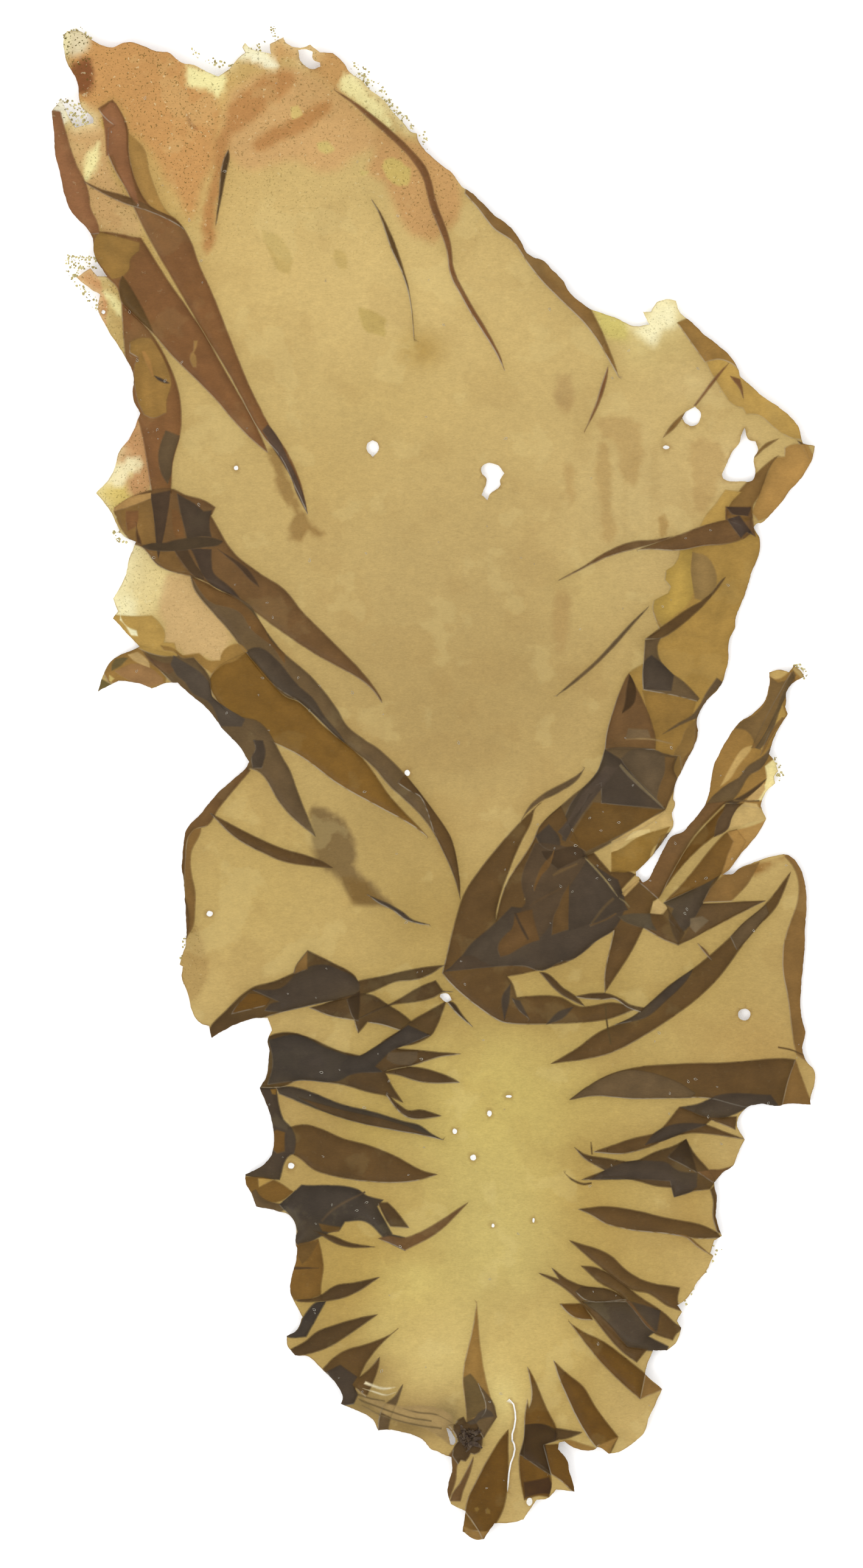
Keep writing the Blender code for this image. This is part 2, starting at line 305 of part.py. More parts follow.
        (94.9, 31.8), (93.8, 30.9), (93.25, 29.9), (90.4, 31.0), (87.75, 33.75), (85.0, 36.9),
        (82.3, 38.5)]),
    "calf_dark": (5, [
        (79.5, 35.75), (83.85, 35.8), (87.0, 35.6), (91.3, 34.4), (90.9, 31.4), (89.6, 30.5),
        (92.6, 29.0), (92.2, 28.0), (88.55, 28.5), (86.45, 28.95), (83.85, 31.15), (80.2, 34.8)]),
    "calf_left": (3, [
        (73.1, 39.95), (76.2, 39.05), (75.05, 40.75), (77.2, 39.2), (79.65, 38.25), (83.3, 37.7),
        (85.0, 37.05), (86.8, 35.7), (79.8, 35.7), (83.0, 33.0), (86.45, 29.0), (89.4, 28.6),
        (87.75, 26.6), (85.8, 28.0), (84.1, 30.0), (81.6, 33.0), (79.4, 35.35), (76.8, 37.8)]),
    "right_low": (3, [
        (79.0, 49.55), (83.05, 49.95), (86.45, 49.65), (90.9, 48.6), (95.35, 47.15), (99.9, 45.95),
        (100.45, 45.3), (96.9, 45.25), (92.2, 46.05), (86.2, 46.55), (83.3, 47.4), (80.95, 48.7)]),
    "right_knot": (3, [
        (78.35, 58.9), (79.9, 57.9), (83.6, 57.25), (87.25, 56.75), (90.65, 58.2), (93.0, 58.95),
        (95.2, 60.1), (96.65, 57.85), (98.75, 55.25), (99.6, 53.8), (98.75, 52.65), (95.9, 52.25),
        (93.45, 51.35), (93.0, 52.85), (90.9, 53.0), (86.2, 54.1), (79.5, 54.0), (82.95, 55.45),
        (79.9, 57.2)]),
    "right_knot_dark": (5, [
        (82.95, 55.45), (86.45, 56.7), (90.65, 56.85), (92.2, 56.55), (94.05, 55.4), (96.9, 55.0),
        (96.8, 53.05), (95.9, 52.25), (93.45, 51.35), (92.75, 53.8), (88.55, 53.95), (80.7, 54.05)]),
    "right_hem": (2, [
        (110.1, 102.5), (111.45, 100.85), (112.1, 97.7), (111.45, 95.1), (110.55, 91.95), (109.85, 88.8),
        (109.8, 85.15), (110.45, 82.0), (110.9, 78.35), (111.3, 75.1), (111.85, 72.8), (113.8, 71.4),
        (113.6, 73.6), (113.9, 76.0), (113.2, 79.4), (113.4, 87.0), (113.9, 91.7), (114.0, 97.0),
        (113.2, 100.7), (110.9, 103.6)]),
    "right_band": (3, [
        (77.7, 65.95), (80.45, 67.95), (83.85, 69.75), (88.55, 70.95), (94.85, 71.4), (101.1, 71.65),
        (107.4, 72.1), (109.75, 72.25), (111.6, 72.05), (110.65, 69.1), (109.6, 65.0), (104.4, 64.9),
        (99.0, 66.2), (94.3, 66.3), (87.25, 66.25), (81.25, 66.55)]),
    "right_band_dark": (5, [
        (94.2, 64.9), (96.9, 65.45), (100.3, 66.75), (103.7, 66.7), (107.9, 66.7), (109.1, 65.0),
        (104.4, 64.7), (102.4, 63.75), (99.0, 62.95), (95.35, 64.4)]),
    "right_spear": (3, [
        (94.2, 64.9), (92.1, 62.3), (90.9, 61.25), (87.25, 60.15), (83.3, 58.8), (81.35, 58.25),
        (85.95, 58.05), (89.6, 58.9), (93.0, 60.35), (96.4, 61.0), (99.0, 60.7), (104.0, 60.1),
        (100.85, 61.4), (98.25, 62.3), (99.0, 62.95), (102.55, 61.5), (102.8, 63.5), (99.0, 63.4)]),
    "arm_long": (3, [
        (74.9, 71.4), (78.9, 73.8), (82.0, 76.1), (84.65, 77.2), (87.0, 78.35), (89.6, 80.45),
        (92.75, 83.2), (96.15, 85.65), (98.75, 87.75), (101.9, 90.5), (103.7, 92.35), (106.85, 94.95),
        (108.7, 97.3), (110.9, 100.2), (109.75, 97.15), (108.55, 94.8), (105.8, 91.8), (102.95, 88.3),
        (100.3, 84.6), (97.2, 81.5), (93.25, 78.35), (89.1, 75.85), (85.7, 74.1), (83.6, 72.9),
        (80.95, 72.45)]),
    "heart_lens": (3, [
        (73.35, 110.65), (70.75, 108.15), (68.25, 105.4), (66.3, 103.05), (64.45, 100.85), (62.1, 97.3),
        (60.65, 93.0), (59.2, 87.5), (58.55, 85.0), (60.0, 83.3), (63.15, 80.7), (66.3, 78.35),
        (68.0, 77.6), (73.6, 77.35), (80.7, 77.7), (83.85, 78.2), (87.5, 79.65), (84.35, 80.55),
        (80.7, 80.2), (79.2, 80.0), (76.2, 81.35), (71.0, 81.5), (69.8, 81.45), (69.15, 83.45),
        (68.4, 84.5), (72.05, 85.25), (75.7, 86.3), (78.1, 87.1), (80.7, 89.2), (84.35, 91.4),
        (83.7, 88.55), (83.05, 84.9), (82.95, 82.1), (84.9, 85.15), (87.0, 88.3), (88.8, 91.8),
        (91.7, 90.1), (94.05, 89.2), (97.95, 91.15), (102.95, 93.75), (107.1, 95.9), (102.15, 95.65),
        (97.6, 95.4), (99.1, 97.8), (100.4, 99.9), (98.6, 99.4), (95.0, 96.9), (91.9, 95.6),
        (92.4, 94.8), (91.4, 93.8), (89.75, 94.05), (90.25, 95.85), (91.1, 96.4), (92.6, 99.8),
        (94.7, 103.7), (98.25, 108.15), (101.25, 110.9), (103.6, 113.9), (107.0, 116.3), (107.9, 118.8),
        (107.5, 119.3), (104.4, 116.0), (102.4, 114.05), (98.75, 111.05), (97.0, 109.6), (94.6, 107.0),
        (91.4, 105.6), (90.2, 102.5), (89.4, 99.4), (88.6, 99.2), (85.4, 96.8), (85.4, 97.5),
        (87.6, 99.8), (86.5, 100.3), (83.85, 100.2), (81.3, 103.1), (80.05, 102.5), (76.4, 110.1),
        (74.65, 108.4), (73.2, 107.0), (72.3, 104.9), (70.2, 101.6), (68.65, 99.25), (67.7, 97.15),
        (66.6, 93.0), (66.95, 95.35), (68.25, 99.25), (70.45, 104.6), (71.8, 107.35), (72.55, 109.85)]),
}


def clear_scene():
    """Start from an empty scene."""
    for item in list(bpy.data.objects):
        bpy.data.objects.remove(item, do_unlink=True)


def new_collection(name):
    """A collection linked to the scene."""
    collection = bpy.data.collections.new(name)
    bpy.context.scene.collection.children.link(collection)
    return collection


def add_loop(curve, points):
    """One closed straight-sided loop, given in millimetres on the sheet."""
    spline = curve.splines.new('POLY')
    spline.points.add(len(points) - 1)
    for corner, (x, y) in zip(spline.points, points):
        corner.co = ((x - SHEET_MIDDLE[0]) * MM, (y - SHEET_MIDDLE[1]) * MM, 0.0, 1.0)
    spline.use_cyclic_u = True


def prism(name, loops, low, high, collection):
    """A flat outline with its holes, made solid from one height to another."""
    curve = bpy.data.curves.new(name, 'CURVE')
    curve.dimensions = '2D'
    curve.fill_mode = 'BOTH'
    curve.extrude = (high - low) / 2 * MM
    for loop in loops:
        add_loop(curve, loop)
    holder = bpy.data.objects.new(name + '_curve', curve)
    holder.location.z = (low + high) / 2 * MM
    collection.objects.link(holder)
    bpy.context.view_layer.update()
    mesh = bpy.data.meshes.new_from_object(holder.evaluated_get(bpy.context.evaluated_depsgraph_get()))
    mesh.name = name
    weld(mesh)
    solid = bpy.data.objects.new(name, mesh)
    solid.matrix_world = holder.matrix_world
    collection.objects.link(solid)
    bpy.data.objects.remove(holder, do_unlink=True)
    bpy.data.curves.remove(curve)
    return solid


def weld(mesh):
    """Join the loose caps of a filled curve to its walls."""
    work = bmesh.new()
    work.from_mesh(mesh)
    bmesh.ops.remove_doubles(work, verts=work.verts, dist=0.001 * MM)
    bmesh.ops.recalc_face_normals(work, faces=work.faces)
    work.to_mesh(mesh)
    work.free()


def as_cutter(item):
    """A guide that shapes the blade and isn't part of it."""
    item.hide_render = True
    item.display_type = 'WIRE'
    return item


def cut(target, name, **operand):
    """Take a cutter, or a collection of them, away from a solid."""
    modifier = target.modifiers.new(name, 'BOOLEAN')
    modifier.operation = 'DIFFERENCE'
    modifier.solver = 'EXACT'
    if 'collection' in operand:
        modifier.operand_type = 'COLLECTION'
    for key, value in operand.items():
        setattr(modifier, key, value)


def bake(item):
    """Replace an object's mesh by its evaluated one."""
    bpy.context.view_layer.update()
    evaluated = item.evaluated_get(bpy.context.evaluated_depsgraph_get())
    mesh = bpy.data.meshes.new_from_object(evaluated)
    item.modifiers.clear()
    item.data = mesh


def terrace_top(layers, place):
    """Height of the top of a fold, a little different for each since no two dry alike."""
    return BLADE_THICKNESS + (layers - 1) * LAYER_RISE + (place % 4) * UNEVEN_RISE


def add_folds(collection):
    """One upright prism for each pleat and hem."""
    for place, (name, (layers, points)) in enumerate(FOLDS.items()):
        top = terrace_top(layers, place)
        as_cutter(prism(name, [points], -1.0, top, collection))


def spare_skin(cutters, folds):
    """What is pared away above the single layer: a slab with the folds left out of it."""
    left = SHEET_MIDDLE[0] - BLADE_WIDTH / 2 - CUT_REACH
    right = SHEET_MIDDLE[0] + BLADE_WIDTH / 2 + CUT_REACH
    foot = SHEET_MIDDLE[1] - BLADE_LENGTH / 2 - CUT_REACH
    crest = SHEET_MIDDLE[1] + BLADE_LENGTH / 2 + CUT_REACH
    corners = [(left, foot), (right, foot), (right, crest), (left, crest)]
    slab = as_cutter(prism('spare_skin', [corners], BLADE_THICKNESS, PLATE_TOP + 1.0, cutters))
    cut(slab, 'leave_folds', collection=folds)
    bake(slab)
    return slab


def lift(x, y):
    """Height of the underside over the surface, in metres, for a place given in metres."""
    past_x = max(0.0, abs(x / MM - WEIGHT[0]) - PATCH_CELLS[0] * CELL)
    past_y = max(0.0, abs(y / MM - WEIGHT[1]) - PATCH_CELLS[1] * CELL)
    past = hypot(past_x, past_y) / LIFT_REACH
    ripple = 1.0 + sin(2 * pi * x / MM / COCKLE_LENGTHS[0]) * cos(2 * pi * y / MM / COCKLE_LENGTHS[1])
    return (MARGIN_LIFT * past * past + COCKLE_HEIGHT * min(1.0, past / COCKLE_START) * ripple) * MM


def cut_into_cells(work):
    """Cut both faces along the same lines, then into triangles."""
    for axis, extent in ((0, BLADE_WIDTH), (1, BLADE_LENGTH)):
        normal = (1.0, 0.0, 0.0) if axis == 0 else (0.0, 1.0, 0.0)
        count = int(extent / 2 / CELL) + 1
        for step in range(-count, count + 1):
            place = [0.0, 0.0, 0.0]
            place[axis] = (WEIGHT[axis] + step * CELL) * MM
            geometry = work.verts[:] + work.edges[:] + work.faces[:]
            bmesh.ops.bisect_plane(work, geom=geometry, dist=SNAP * MM, plane_co=place, plane_no=normal)
    bmesh.ops.triangulate(work, faces=work.faces, quad_method='BEAUTY', ngon_method='BEAUTY')


def dry_out(item):
    """Let the flat blade cockle and lift as a dried one does."""
    work = bmesh.new()
    work.from_mesh(item.data)
    work.transform(item.matrix_world)
    item.location = (0.0, 0.0, 0.0)
    bmesh.ops.dissolve_limit(work, angle_limit=0.001, verts=work.verts, edges=work.edges)
    cut_into_cells(work)
    for corner in work.verts:
        corner.co.z += lift(corner.co.x, corner.co.y)
    work.to_mesh(item.data)
    work.free()


def dried_skin():
    """Matt brown skin with a slight sheen."""
    material = bpy.data.materials.new('dried_skin')
    material.use_nodes = True
    shader = material.node_tree.nodes['Principled BSDF']
    shader.inputs['Base Color'].default_value = (0.42, 0.25, 0.10, 1.0)
    shader.inputs['Roughness'].default_value = 0.55
    shader.inputs['Metallic'].default_value = 0.0
    return material


def build():
    """The blade, with its guides in a collection of their own."""
    clear_scene()
    plant = new_collection('seaweed_blade')
    folds = new_collection('folds')
    cutters = new_collection('cutters')
    add_folds(folds)
    slab = spare_skin(cutters, folds)
    blade = prism('blade', [OUTLINE] + list(HOLES.values()), 0.0, PLATE_TOP, plant)
    cut(blade, 'pare', object=slab)
    bake(blade)
    dry_out(blade)
    blade.data.materials.clear()
    blade.data.materials.append(dried_skin())


build()
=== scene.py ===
from math import ceil, cos, pi, radians, sin

import bpy
import numpy as np
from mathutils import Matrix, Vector, kdtree
from mathutils.geometry import delaunay_2d_cdt


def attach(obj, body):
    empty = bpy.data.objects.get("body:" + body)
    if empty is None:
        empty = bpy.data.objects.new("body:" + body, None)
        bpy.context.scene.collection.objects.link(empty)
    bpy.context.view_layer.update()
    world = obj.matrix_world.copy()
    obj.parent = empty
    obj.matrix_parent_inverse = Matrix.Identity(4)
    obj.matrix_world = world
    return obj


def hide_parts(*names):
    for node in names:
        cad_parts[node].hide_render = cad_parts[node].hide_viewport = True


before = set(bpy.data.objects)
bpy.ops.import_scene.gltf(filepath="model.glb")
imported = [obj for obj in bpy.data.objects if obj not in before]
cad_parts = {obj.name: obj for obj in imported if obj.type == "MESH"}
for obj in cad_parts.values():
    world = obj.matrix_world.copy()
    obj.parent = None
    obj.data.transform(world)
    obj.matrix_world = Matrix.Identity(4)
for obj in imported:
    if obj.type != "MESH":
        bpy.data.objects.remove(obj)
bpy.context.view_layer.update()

# The stage: a plain white floor, lit evenly from above with a little more light from the upper left, so
# that each fold shows a faint edge. The camera looks straight down, as a scanner does. The light is a
# quarter stronger than the colours need, so that the floor stays white beside the blade.
MM = 0.001
LIGHT_LEVEL = 1.28
SHEEN_LIGHT = 0.019
PIXELS_PER_MM = 10.95
PICTURE_HEIGHT = 2576
DRAWN_MIDDLE = np.array([57.3, 113.2])
VIEW_MIDDLE = (-0.31, 0.18)


def albedo(tones):
    """8-bit sRGB tones, as they should show in this light, as linear surface colours."""
    level = np.clip(tones, 0, 255) / 255
    light = np.where(level <= 0.04045, level / 12.92, ((level + 0.055) / 1.055)**2.4)
    return np.clip((light - SHEEN_LIGHT) / LIGHT_LEVEL, 0.002, 1)


def shade(colour):
    """An 8-bit sRGB colour as the four linear numbers of a socket."""
    return tuple(albedo(np.array(colour, dtype=float)).tolist()) + (1.0,)


def plain_mesh(name, verts, faces, material):
    """A mesh object made of given corners and faces, in metres."""
    mesh = bpy.data.meshes.new(name)
    mesh.from_pydata(verts, [], faces)
    mesh.materials.append(material)
    piece = bpy.data.objects.new(name, mesh)
    bpy.context.scene.collection.objects.link(piece)
    return piece


FLOOR_WHITE = (0.94, 0.94, 0.94, 1.0)
FLOOR_GLOW = 0.22
FLOOR_HALF = 1.2
FLOOR_DROP = 0.05
SKY_STRENGTH = 1.12
LAMP_STRENGTH = 0.80
LAMP_SPREAD = 25
LAMP_LEAN = (28, -30)
CAMERA_HEIGHT = 0.6
floor_finish = bpy.data.materials.new("white_floor")
floor_finish.use_nodes = True
floor_shader = floor_finish.node_tree.nodes["Principled BSDF"]
floor_shader.inputs["Base Color"].default_value = FLOOR_WHITE
floor_shader.inputs["Roughness"].default_value = 0.9
floor_shader.inputs["Emission Color"].default_value = (1.0, 1.0, 1.0, 1.0)
floor_shader.inputs["Emission Strength"].default_value = FLOOR_GLOW
floor = plain_mesh("plain_floor",
                   [(-FLOOR_HALF, -FLOOR_HALF, 0), (FLOOR_HALF, -FLOOR_HALF, 0),
                    (FLOOR_HALF, FLOOR_HALF, 0), (-FLOOR_HALF, FLOOR_HALF, 0)],
                   [(0, 1, 2, 3)], floor_finish)
floor.location.z = -FLOOR_DROP * MM

world = bpy.data.worlds.new("even_light")
world.use_nodes = True
world.node_tree.nodes["Background"].inputs["Color"].default_value = (1.0, 1.0, 1.0, 1.0)
world.node_tree.nodes["Background"].inputs["Strength"].default_value = SKY_STRENGTH
bpy.context.scene.world = world
bpy.context.scene.view_settings.view_transform = "Standard"

lamp_data = bpy.data.lights.new("soft_window", "SUN")
lamp_data.energy = LAMP_STRENGTH
lamp_data.angle = radians(LAMP_SPREAD)
lamp = bpy.data.objects.new("soft_window", lamp_data)
lamp.rotation_euler = (radians(LAMP_LEAN[0]), radians(LAMP_LEAN[1]), 0.0)
bpy.context.scene.collection.objects.link(lamp)

camera_data = bpy.data.cameras.new("scanner")
camera_data.type = "ORTHO"
camera_data.ortho_scale = PICTURE_HEIGHT / PIXELS_PER_MM * MM
camera_data.clip_start = 0.01
camera = bpy.data.objects.new("scanner", camera_data)
camera.location = (VIEW_MIDDLE[0] * MM, VIEW_MIDDLE[1] * MM, CAMERA_HEIGHT)
bpy.context.scene.collection.objects.link(camera)
bpy.context.scene.camera = camera

# The margin of the blade: one thin skin, torn and nibbled all round, with small holes that were eaten or
# torn into it and one long crack beside the foot. The outline, the holes, the folds and the patches are
# drawn in tenths of a millimetre, each as x and y in turn, and all other places in millimetres.
OUTLINE = [
    23, 2263, 42, 2263, 60, 2250, 78, 2242, 91, 2240, 115, 2247, 132, 2242, 160, 2233, 176, 2231,
    187, 2222, 199, 2214, 213, 2212, 241, 2199, 250, 2195, 265, 2205, 280, 2222, 290, 2231, 286, 2239,
    290, 2246, 300, 2237, 329, 2229, 327, 2244, 348, 2255, 351, 2246, 370, 2239, 388, 2243, 402, 2231,
    422, 2231, 436, 2219, 447, 2202, 466, 2188, 479, 2173, 499, 2159, 513, 2141, 531, 2121, 539, 2112,
    548, 2110, 550, 2100, 566, 2079, 589, 2060, 599, 2052, 615, 2032, 632, 2019, 650, 2001, 665, 1987,
    689, 1969, 701, 1951, 713, 1930, 723, 1924, 736, 1921, 754, 1903, 767, 1889, 772, 1878, 789, 1860,
    810, 1845, 844, 1835, 859, 1827, 875, 1821, 897, 1823, 886, 1843, 899, 1843, 908, 1857, 927, 1862,
    937, 1859, 943, 1842, 959, 1828, 978, 1809, 1001, 1792, 1022, 1772, 1028, 1760, 1032, 1745,
    1048, 1733, 1065, 1717, 1087, 1702, 1103, 1689, 1120, 1668, 1127, 1645, 1145, 1641, 1139, 1617,
    1129, 1598, 1108, 1575, 1097, 1559, 1080, 1540, 1066, 1526, 1058, 1524, 1054, 1519, 1060, 1506,
    1062, 1499, 1060, 1477, 1049, 1448, 1046, 1434, 1037, 1409, 1027, 1386, 1025, 1367, 1019, 1355,
    1016, 1345, 1014, 1315, 1011, 1300, 1007, 1288, 999, 1277, 988, 1264, 980, 1254, 969, 1231, 968, 1224,
    970, 1214, 964, 1190, 950, 1161, 939, 1139, 933, 1112, 935, 1105, 930, 1091, 932, 1071, 922, 1055,
    910, 1038, 898, 1024, 888, 1013, 876, 1002, 876, 995, 881, 994, 887, 986, 896, 992, 904, 1008,
    913, 1024, 922, 1043, 929, 1054, 947, 1063, 959, 1076, 972, 1091, 982, 1108, 988, 1130, 994, 1161,
    1004, 1184, 1018, 1208, 1029, 1222, 1050, 1238, 1069, 1258, 1077, 1282, 1077, 1301, 1091, 1306,
    1106, 1302, 1114, 1312, 1125, 1303, 1130, 1294, 1116, 1288, 1103, 1272, 1102, 1256, 1100, 1250,
    1104, 1239, 1095, 1225, 1080, 1195, 1076, 1179, 1086, 1166, 1090, 1153, 1084, 1145, 1085, 1135,
    1071, 1120, 1064, 1101, 1072, 1082, 1066, 1070, 1050, 1048, 1033, 1028, 1016, 1006, 1006, 998,
    1022, 999, 1032, 1007, 1061, 1019, 1087, 1026, 1101, 1029, 1108, 1027, 1125, 1004, 1131, 977,
    1132, 951, 1130, 917, 1128, 872, 1125, 830, 1124, 794, 1131, 759, 1127, 738, 1133, 718, 1144, 705,
    1145, 683, 1139, 662, 1140, 652, 1105, 654, 1091, 651, 1065, 654, 1044, 649, 1030, 634, 1028, 623,
    1040, 600, 1027, 574, 1022, 562, 1006, 550, 994, 536, 998, 511, 996, 487, 1005, 456, 994, 449,
    988, 430, 993, 426, 980, 400, 969, 388, 953, 362, 938, 352, 946, 342, 938, 328, 945, 318, 938, 297,
    923, 284, 902, 285, 894, 267, 891, 249, 916, 226, 904, 202, 895, 182, 888, 160, 874, 147, 850, 132,
    836, 129, 824, 138, 819, 139, 815, 135, 802, 133, 786, 137, 770, 148, 761, 146, 760, 136, 774, 119,
    776, 105, 784, 82, 785, 71, 757, 75, 746, 64, 728, 60, 715, 41, 708, 30, 692, 26, 664, 25, 649, 1,
    637, 1, 616, 12, 620, 42, 606, 49, 598, 53, 594, 72, 602, 108, 600, 124, 580, 132, 570, 136, 556, 150,
    516, 164, 490, 164, 482, 180, 456, 195, 434, 204, 436, 214, 426, 236, 406, 256, 386, 274, 365, 276,
    354, 292, 352, 306, 366, 314, 376, 334, 367, 352, 358, 374, 359, 388, 368, 435, 366, 446, 366, 469,
    356, 487, 340, 494, 307, 500, 300, 518, 290, 536, 291, 548, 320, 564, 332, 585, 332, 612, 328, 636,
    312, 678, 320, 691, 326, 733, 324, 750, 331, 764, 324, 783, 304, 782, 266, 768, 240, 752, 236, 770,
    223, 776, 210, 796, 204, 820, 195, 842, 197, 860, 192, 863, 202, 901, 202, 930, 198, 985, 196, 1022,
    202, 1066, 223, 1090, 250, 1120, 290, 1158, 296, 1167, 283, 1190, 257, 1216, 236, 1244, 205, 1271,
    189, 1286, 172, 1285, 150, 1277, 126, 1286, 100, 1290, 69, 1272, 78, 1299, 90, 1319, 132, 1340,
    116, 1356, 92, 1382, 100, 1393, 92, 1412, 111, 1446, 116, 1472, 126, 1497, 106, 1507, 87, 1546,
    66, 1570, 92, 1601, 103, 1635, 116, 1651, 132, 1690, 122, 1713, 122, 1750, 108, 1777, 81, 1822,
    70, 1842, 72, 1868, 56, 1878, 36, 1894, 58, 1907, 68, 1895, 84, 1895, 63, 1927, 61, 1955, 28, 1998,
    9, 2059, 6, 2075, 4, 2105, 1, 2143, 15, 2161, 28, 2130, 36, 2119, 62, 2126, 62, 2133, 43, 2154,
    37, 2190, 21, 2220, 18, 2250,
]
HOLES = {
    "crest": [370, 2235, 380, 2236, 391, 2232, 392, 2222, 403, 2216, 403, 2210, 391, 2206, 380, 2211,
        372, 2222],
    "shoulder": [965, 1700, 972, 1694, 974, 1686, 969, 1674, 960, 1671, 951, 1675, 946, 1683, 952, 1692],
    "corner": [1040, 1668, 1042, 1658, 1048, 1649, 1056, 1648, 1060, 1635, 1053, 1623, 1056, 1600,
        1050, 1589, 1035, 1588, 1010, 1590, 1006, 1596, 1012, 1611, 1022, 1634, 1032, 1645, 1034, 1656],
    "egg": [482, 1624, 490, 1634, 489, 1645, 482, 1650, 474, 1645, 473, 1634],
    "hook": [645, 1600, 644, 1606, 648, 1613, 660, 1615, 671, 1611, 679, 1600, 673, 1590, 673, 1581,
        657, 1568, 654, 1559, 645, 1567, 648, 1575, 652, 1593],
    "waist": [582, 815, 584, 819, 591, 820, 596, 818, 600, 810, 592, 807, 587, 810],
    "slit": [592, 168, 596, 166, 602, 158, 606, 146, 603, 142, 598, 143, 595, 158],
}
# The small round holes: middle x, middle y, width and height.
ROUND_HOLES = [
    (53.35, 115.05, 0.8, 0.8), (23.7, 93.9, 0.8, 0.75), (103.9, 78.8, 1.95, 1.8),
    (60.45, 61.25, 0.6, 0.75), (65.7, 63.95, 0.6, 0.8), (63.25, 57.35, 0.85, 0.85),
    (66.2, 47.15, 0.35, 0.5), (35.9, 56.1, 0.85, 0.85), (71.7, 5.65, 0.75, 1.1), (27.7, 160.8, 0.6, 0.6),
    (7.75, 184.2, 0.5, 0.5), (92.2, 163.9, 0.8, 0.5), (72.3, 47.9, 0.25, 0.6), (68.6, 66.5, 0.8, 0.3),
]
CRACK = [
    (68.7, 21.1), (69.3, 20.3), (69.55, 19.1), (69.6, 18.1), (69.4, 16.8), (69.1, 15.85), (69.1, 14.95),
    (69.4, 14.3), (69.5, 13.6), (69.3, 12.6), (68.9, 11.55), (68.6, 10), (68.5, 8.65), (68.4, 7.2),
]
CRACK_HALF_WIDTH = 0.065
PINHOLE = 1.3
HOLE_CORNERS = 14


def in_mm(points):
    """Points drawn as x and y in turn, in tenths of a millimetre, as rows in millimetres."""
    return np.array(points).reshape(-1, 2) / 10


def round_hole(middle_x, middle_y, width, height):
    """A small round hole as a loop of corners."""
    turns = [2 * pi * step / HOLE_CORNERS for step in range(HOLE_CORNERS)]
    return [(middle_x + width / 2 * cos(turn), middle_y + height / 2 * sin(turn)) for turn in turns]


def smooth_loop(points, spacing, corner):
    """Points at a spacing along a closed curve through a drawn loop, with its sharp corners kept."""
    drawn = np.array(points, dtype=float)
    ahead = np.roll(drawn, -1, axis=0) - drawn
    behind = np.roll(ahead, 1, axis=0)
    reach = np.maximum(np.hypot(ahead[:, 0], ahead[:, 1]), 1e-6)
    last_reach = np.roll(reach, 1)
    turn = (ahead * behind).sum(axis=1) / (reach * last_reach)
    sharp = turn < cos(radians(corner))
    along = behind / last_reach[:, None] + ahead / reach[:, None]
    along /= np.maximum(np.hypot(along[:, 0], along[:, 1]), 1e-6)[:, None]
    curve = []
    for place in range(len(drawn)):
        following = (place + 1) % len(drawn)
        straight = ahead[place] / reach[place]
        leaving = straight if sharp[place] else along[place]
        arriving = straight if sharp[following] else along[following]
        steps = max(1, ceil(reach[place] / spacing))
        for step in range(steps):
            t = step / steps
            share = 3 * t**2 - 2 * t**3
            curve.append(drawn[place] * (1 - share) + drawn[following] * share
                         + reach[place] * (leaving * (t**3 - 2 * t**2 + t) + arriving * (t**3 - t**2)))
    return np.array(curve)


def sideways(loop):
    """The unit normal at each point of a closed loop, to the right of its direction."""
    along = np.roll(loop, -1, axis=0) - np.roll(loop, 1, axis=0)
    along /= np.maximum(np.hypot(along[:, 0], along[:, 1]), 1e-6)[:, None]
    return np.stack([along[:, 1], -along[:, 0]], axis=1)


def ragged(loop, depths, seed):
    """A loop pushed in and out by a few sizes of random step, as a tear is."""
    dice = np.random.default_rng(seed)
    push = np.zeros(len(loop))
    for span, depth in depths:
        knots = max(4, len(loop) // span)
        levels = dice.uniform(-1, 1, knots)
        levels = np.append(levels, levels[0])
        steps = np.linspace(0, knots, len(loop), endpoint=False)
        push += depth * np.interp(steps, np.arange(knots + 1), levels)
    return loop + sideways(loop) * push[:, None]


def slit(points, half_width):
    """A crack as a thin closed loop round its drawn line."""
    line = np.array(points)
    along = np.gradient(line, axis=0)
    along /= np.hypot(along[:, 0], along[:, 1])[:, None]
    right = np.stack([along[:, 1], -along[:, 0]], axis=1) * half_width
    right[0] = right[-1] = 0
    return np.concatenate([line + right, (line - right)[-2:0:-1]])


def counted_round(loop):
    """The loop turning anticlockwise."""
    x, y = loop[:, 0], loop[:, 1]
    area = (x * np.roll(y, -1) - np.roll(x, -1) * y).sum()
    return loop if area > 0 else loop[::-1]


MARGIN_SEED = 3
MARGIN_SPACING = 0.35
MARGIN_CORNER = 38
MARGIN_TEARS = ((9, 0.10), (3, 0.06), (1, 0.03))
HOLE_SPACING = 0.3
HOLE_CORNER = 60
HOLE_TEARS = ((3, 0.05), (1, 0.03))
ROUND_HOLE_SEED = 20
margin = smooth_loop(in_mm(OUTLINE), MARGIN_SPACING, MARGIN_CORNER)
margin = counted_round(ragged(margin, MARGIN_TEARS, MARGIN_SEED))
holes = [smooth_loop(in_mm(points), HOLE_SPACING, HOLE_CORNER) for points in HOLES.values()]
holes = [counted_round(ragged(loop, HOLE_TEARS, seed)) for seed, loop in enumerate(holes)]
round_holes = [counted_round(ragged(np.array(round_hole(*hole)), HOLE_TEARS, ROUND_HOLE_SEED + seed))
               for seed, hole in enumerate(ROUND_HOLES)]
holes += [loop for loop, hole in zip(round_holes, ROUND_HOLES) if hole[2] > PINHOLE]

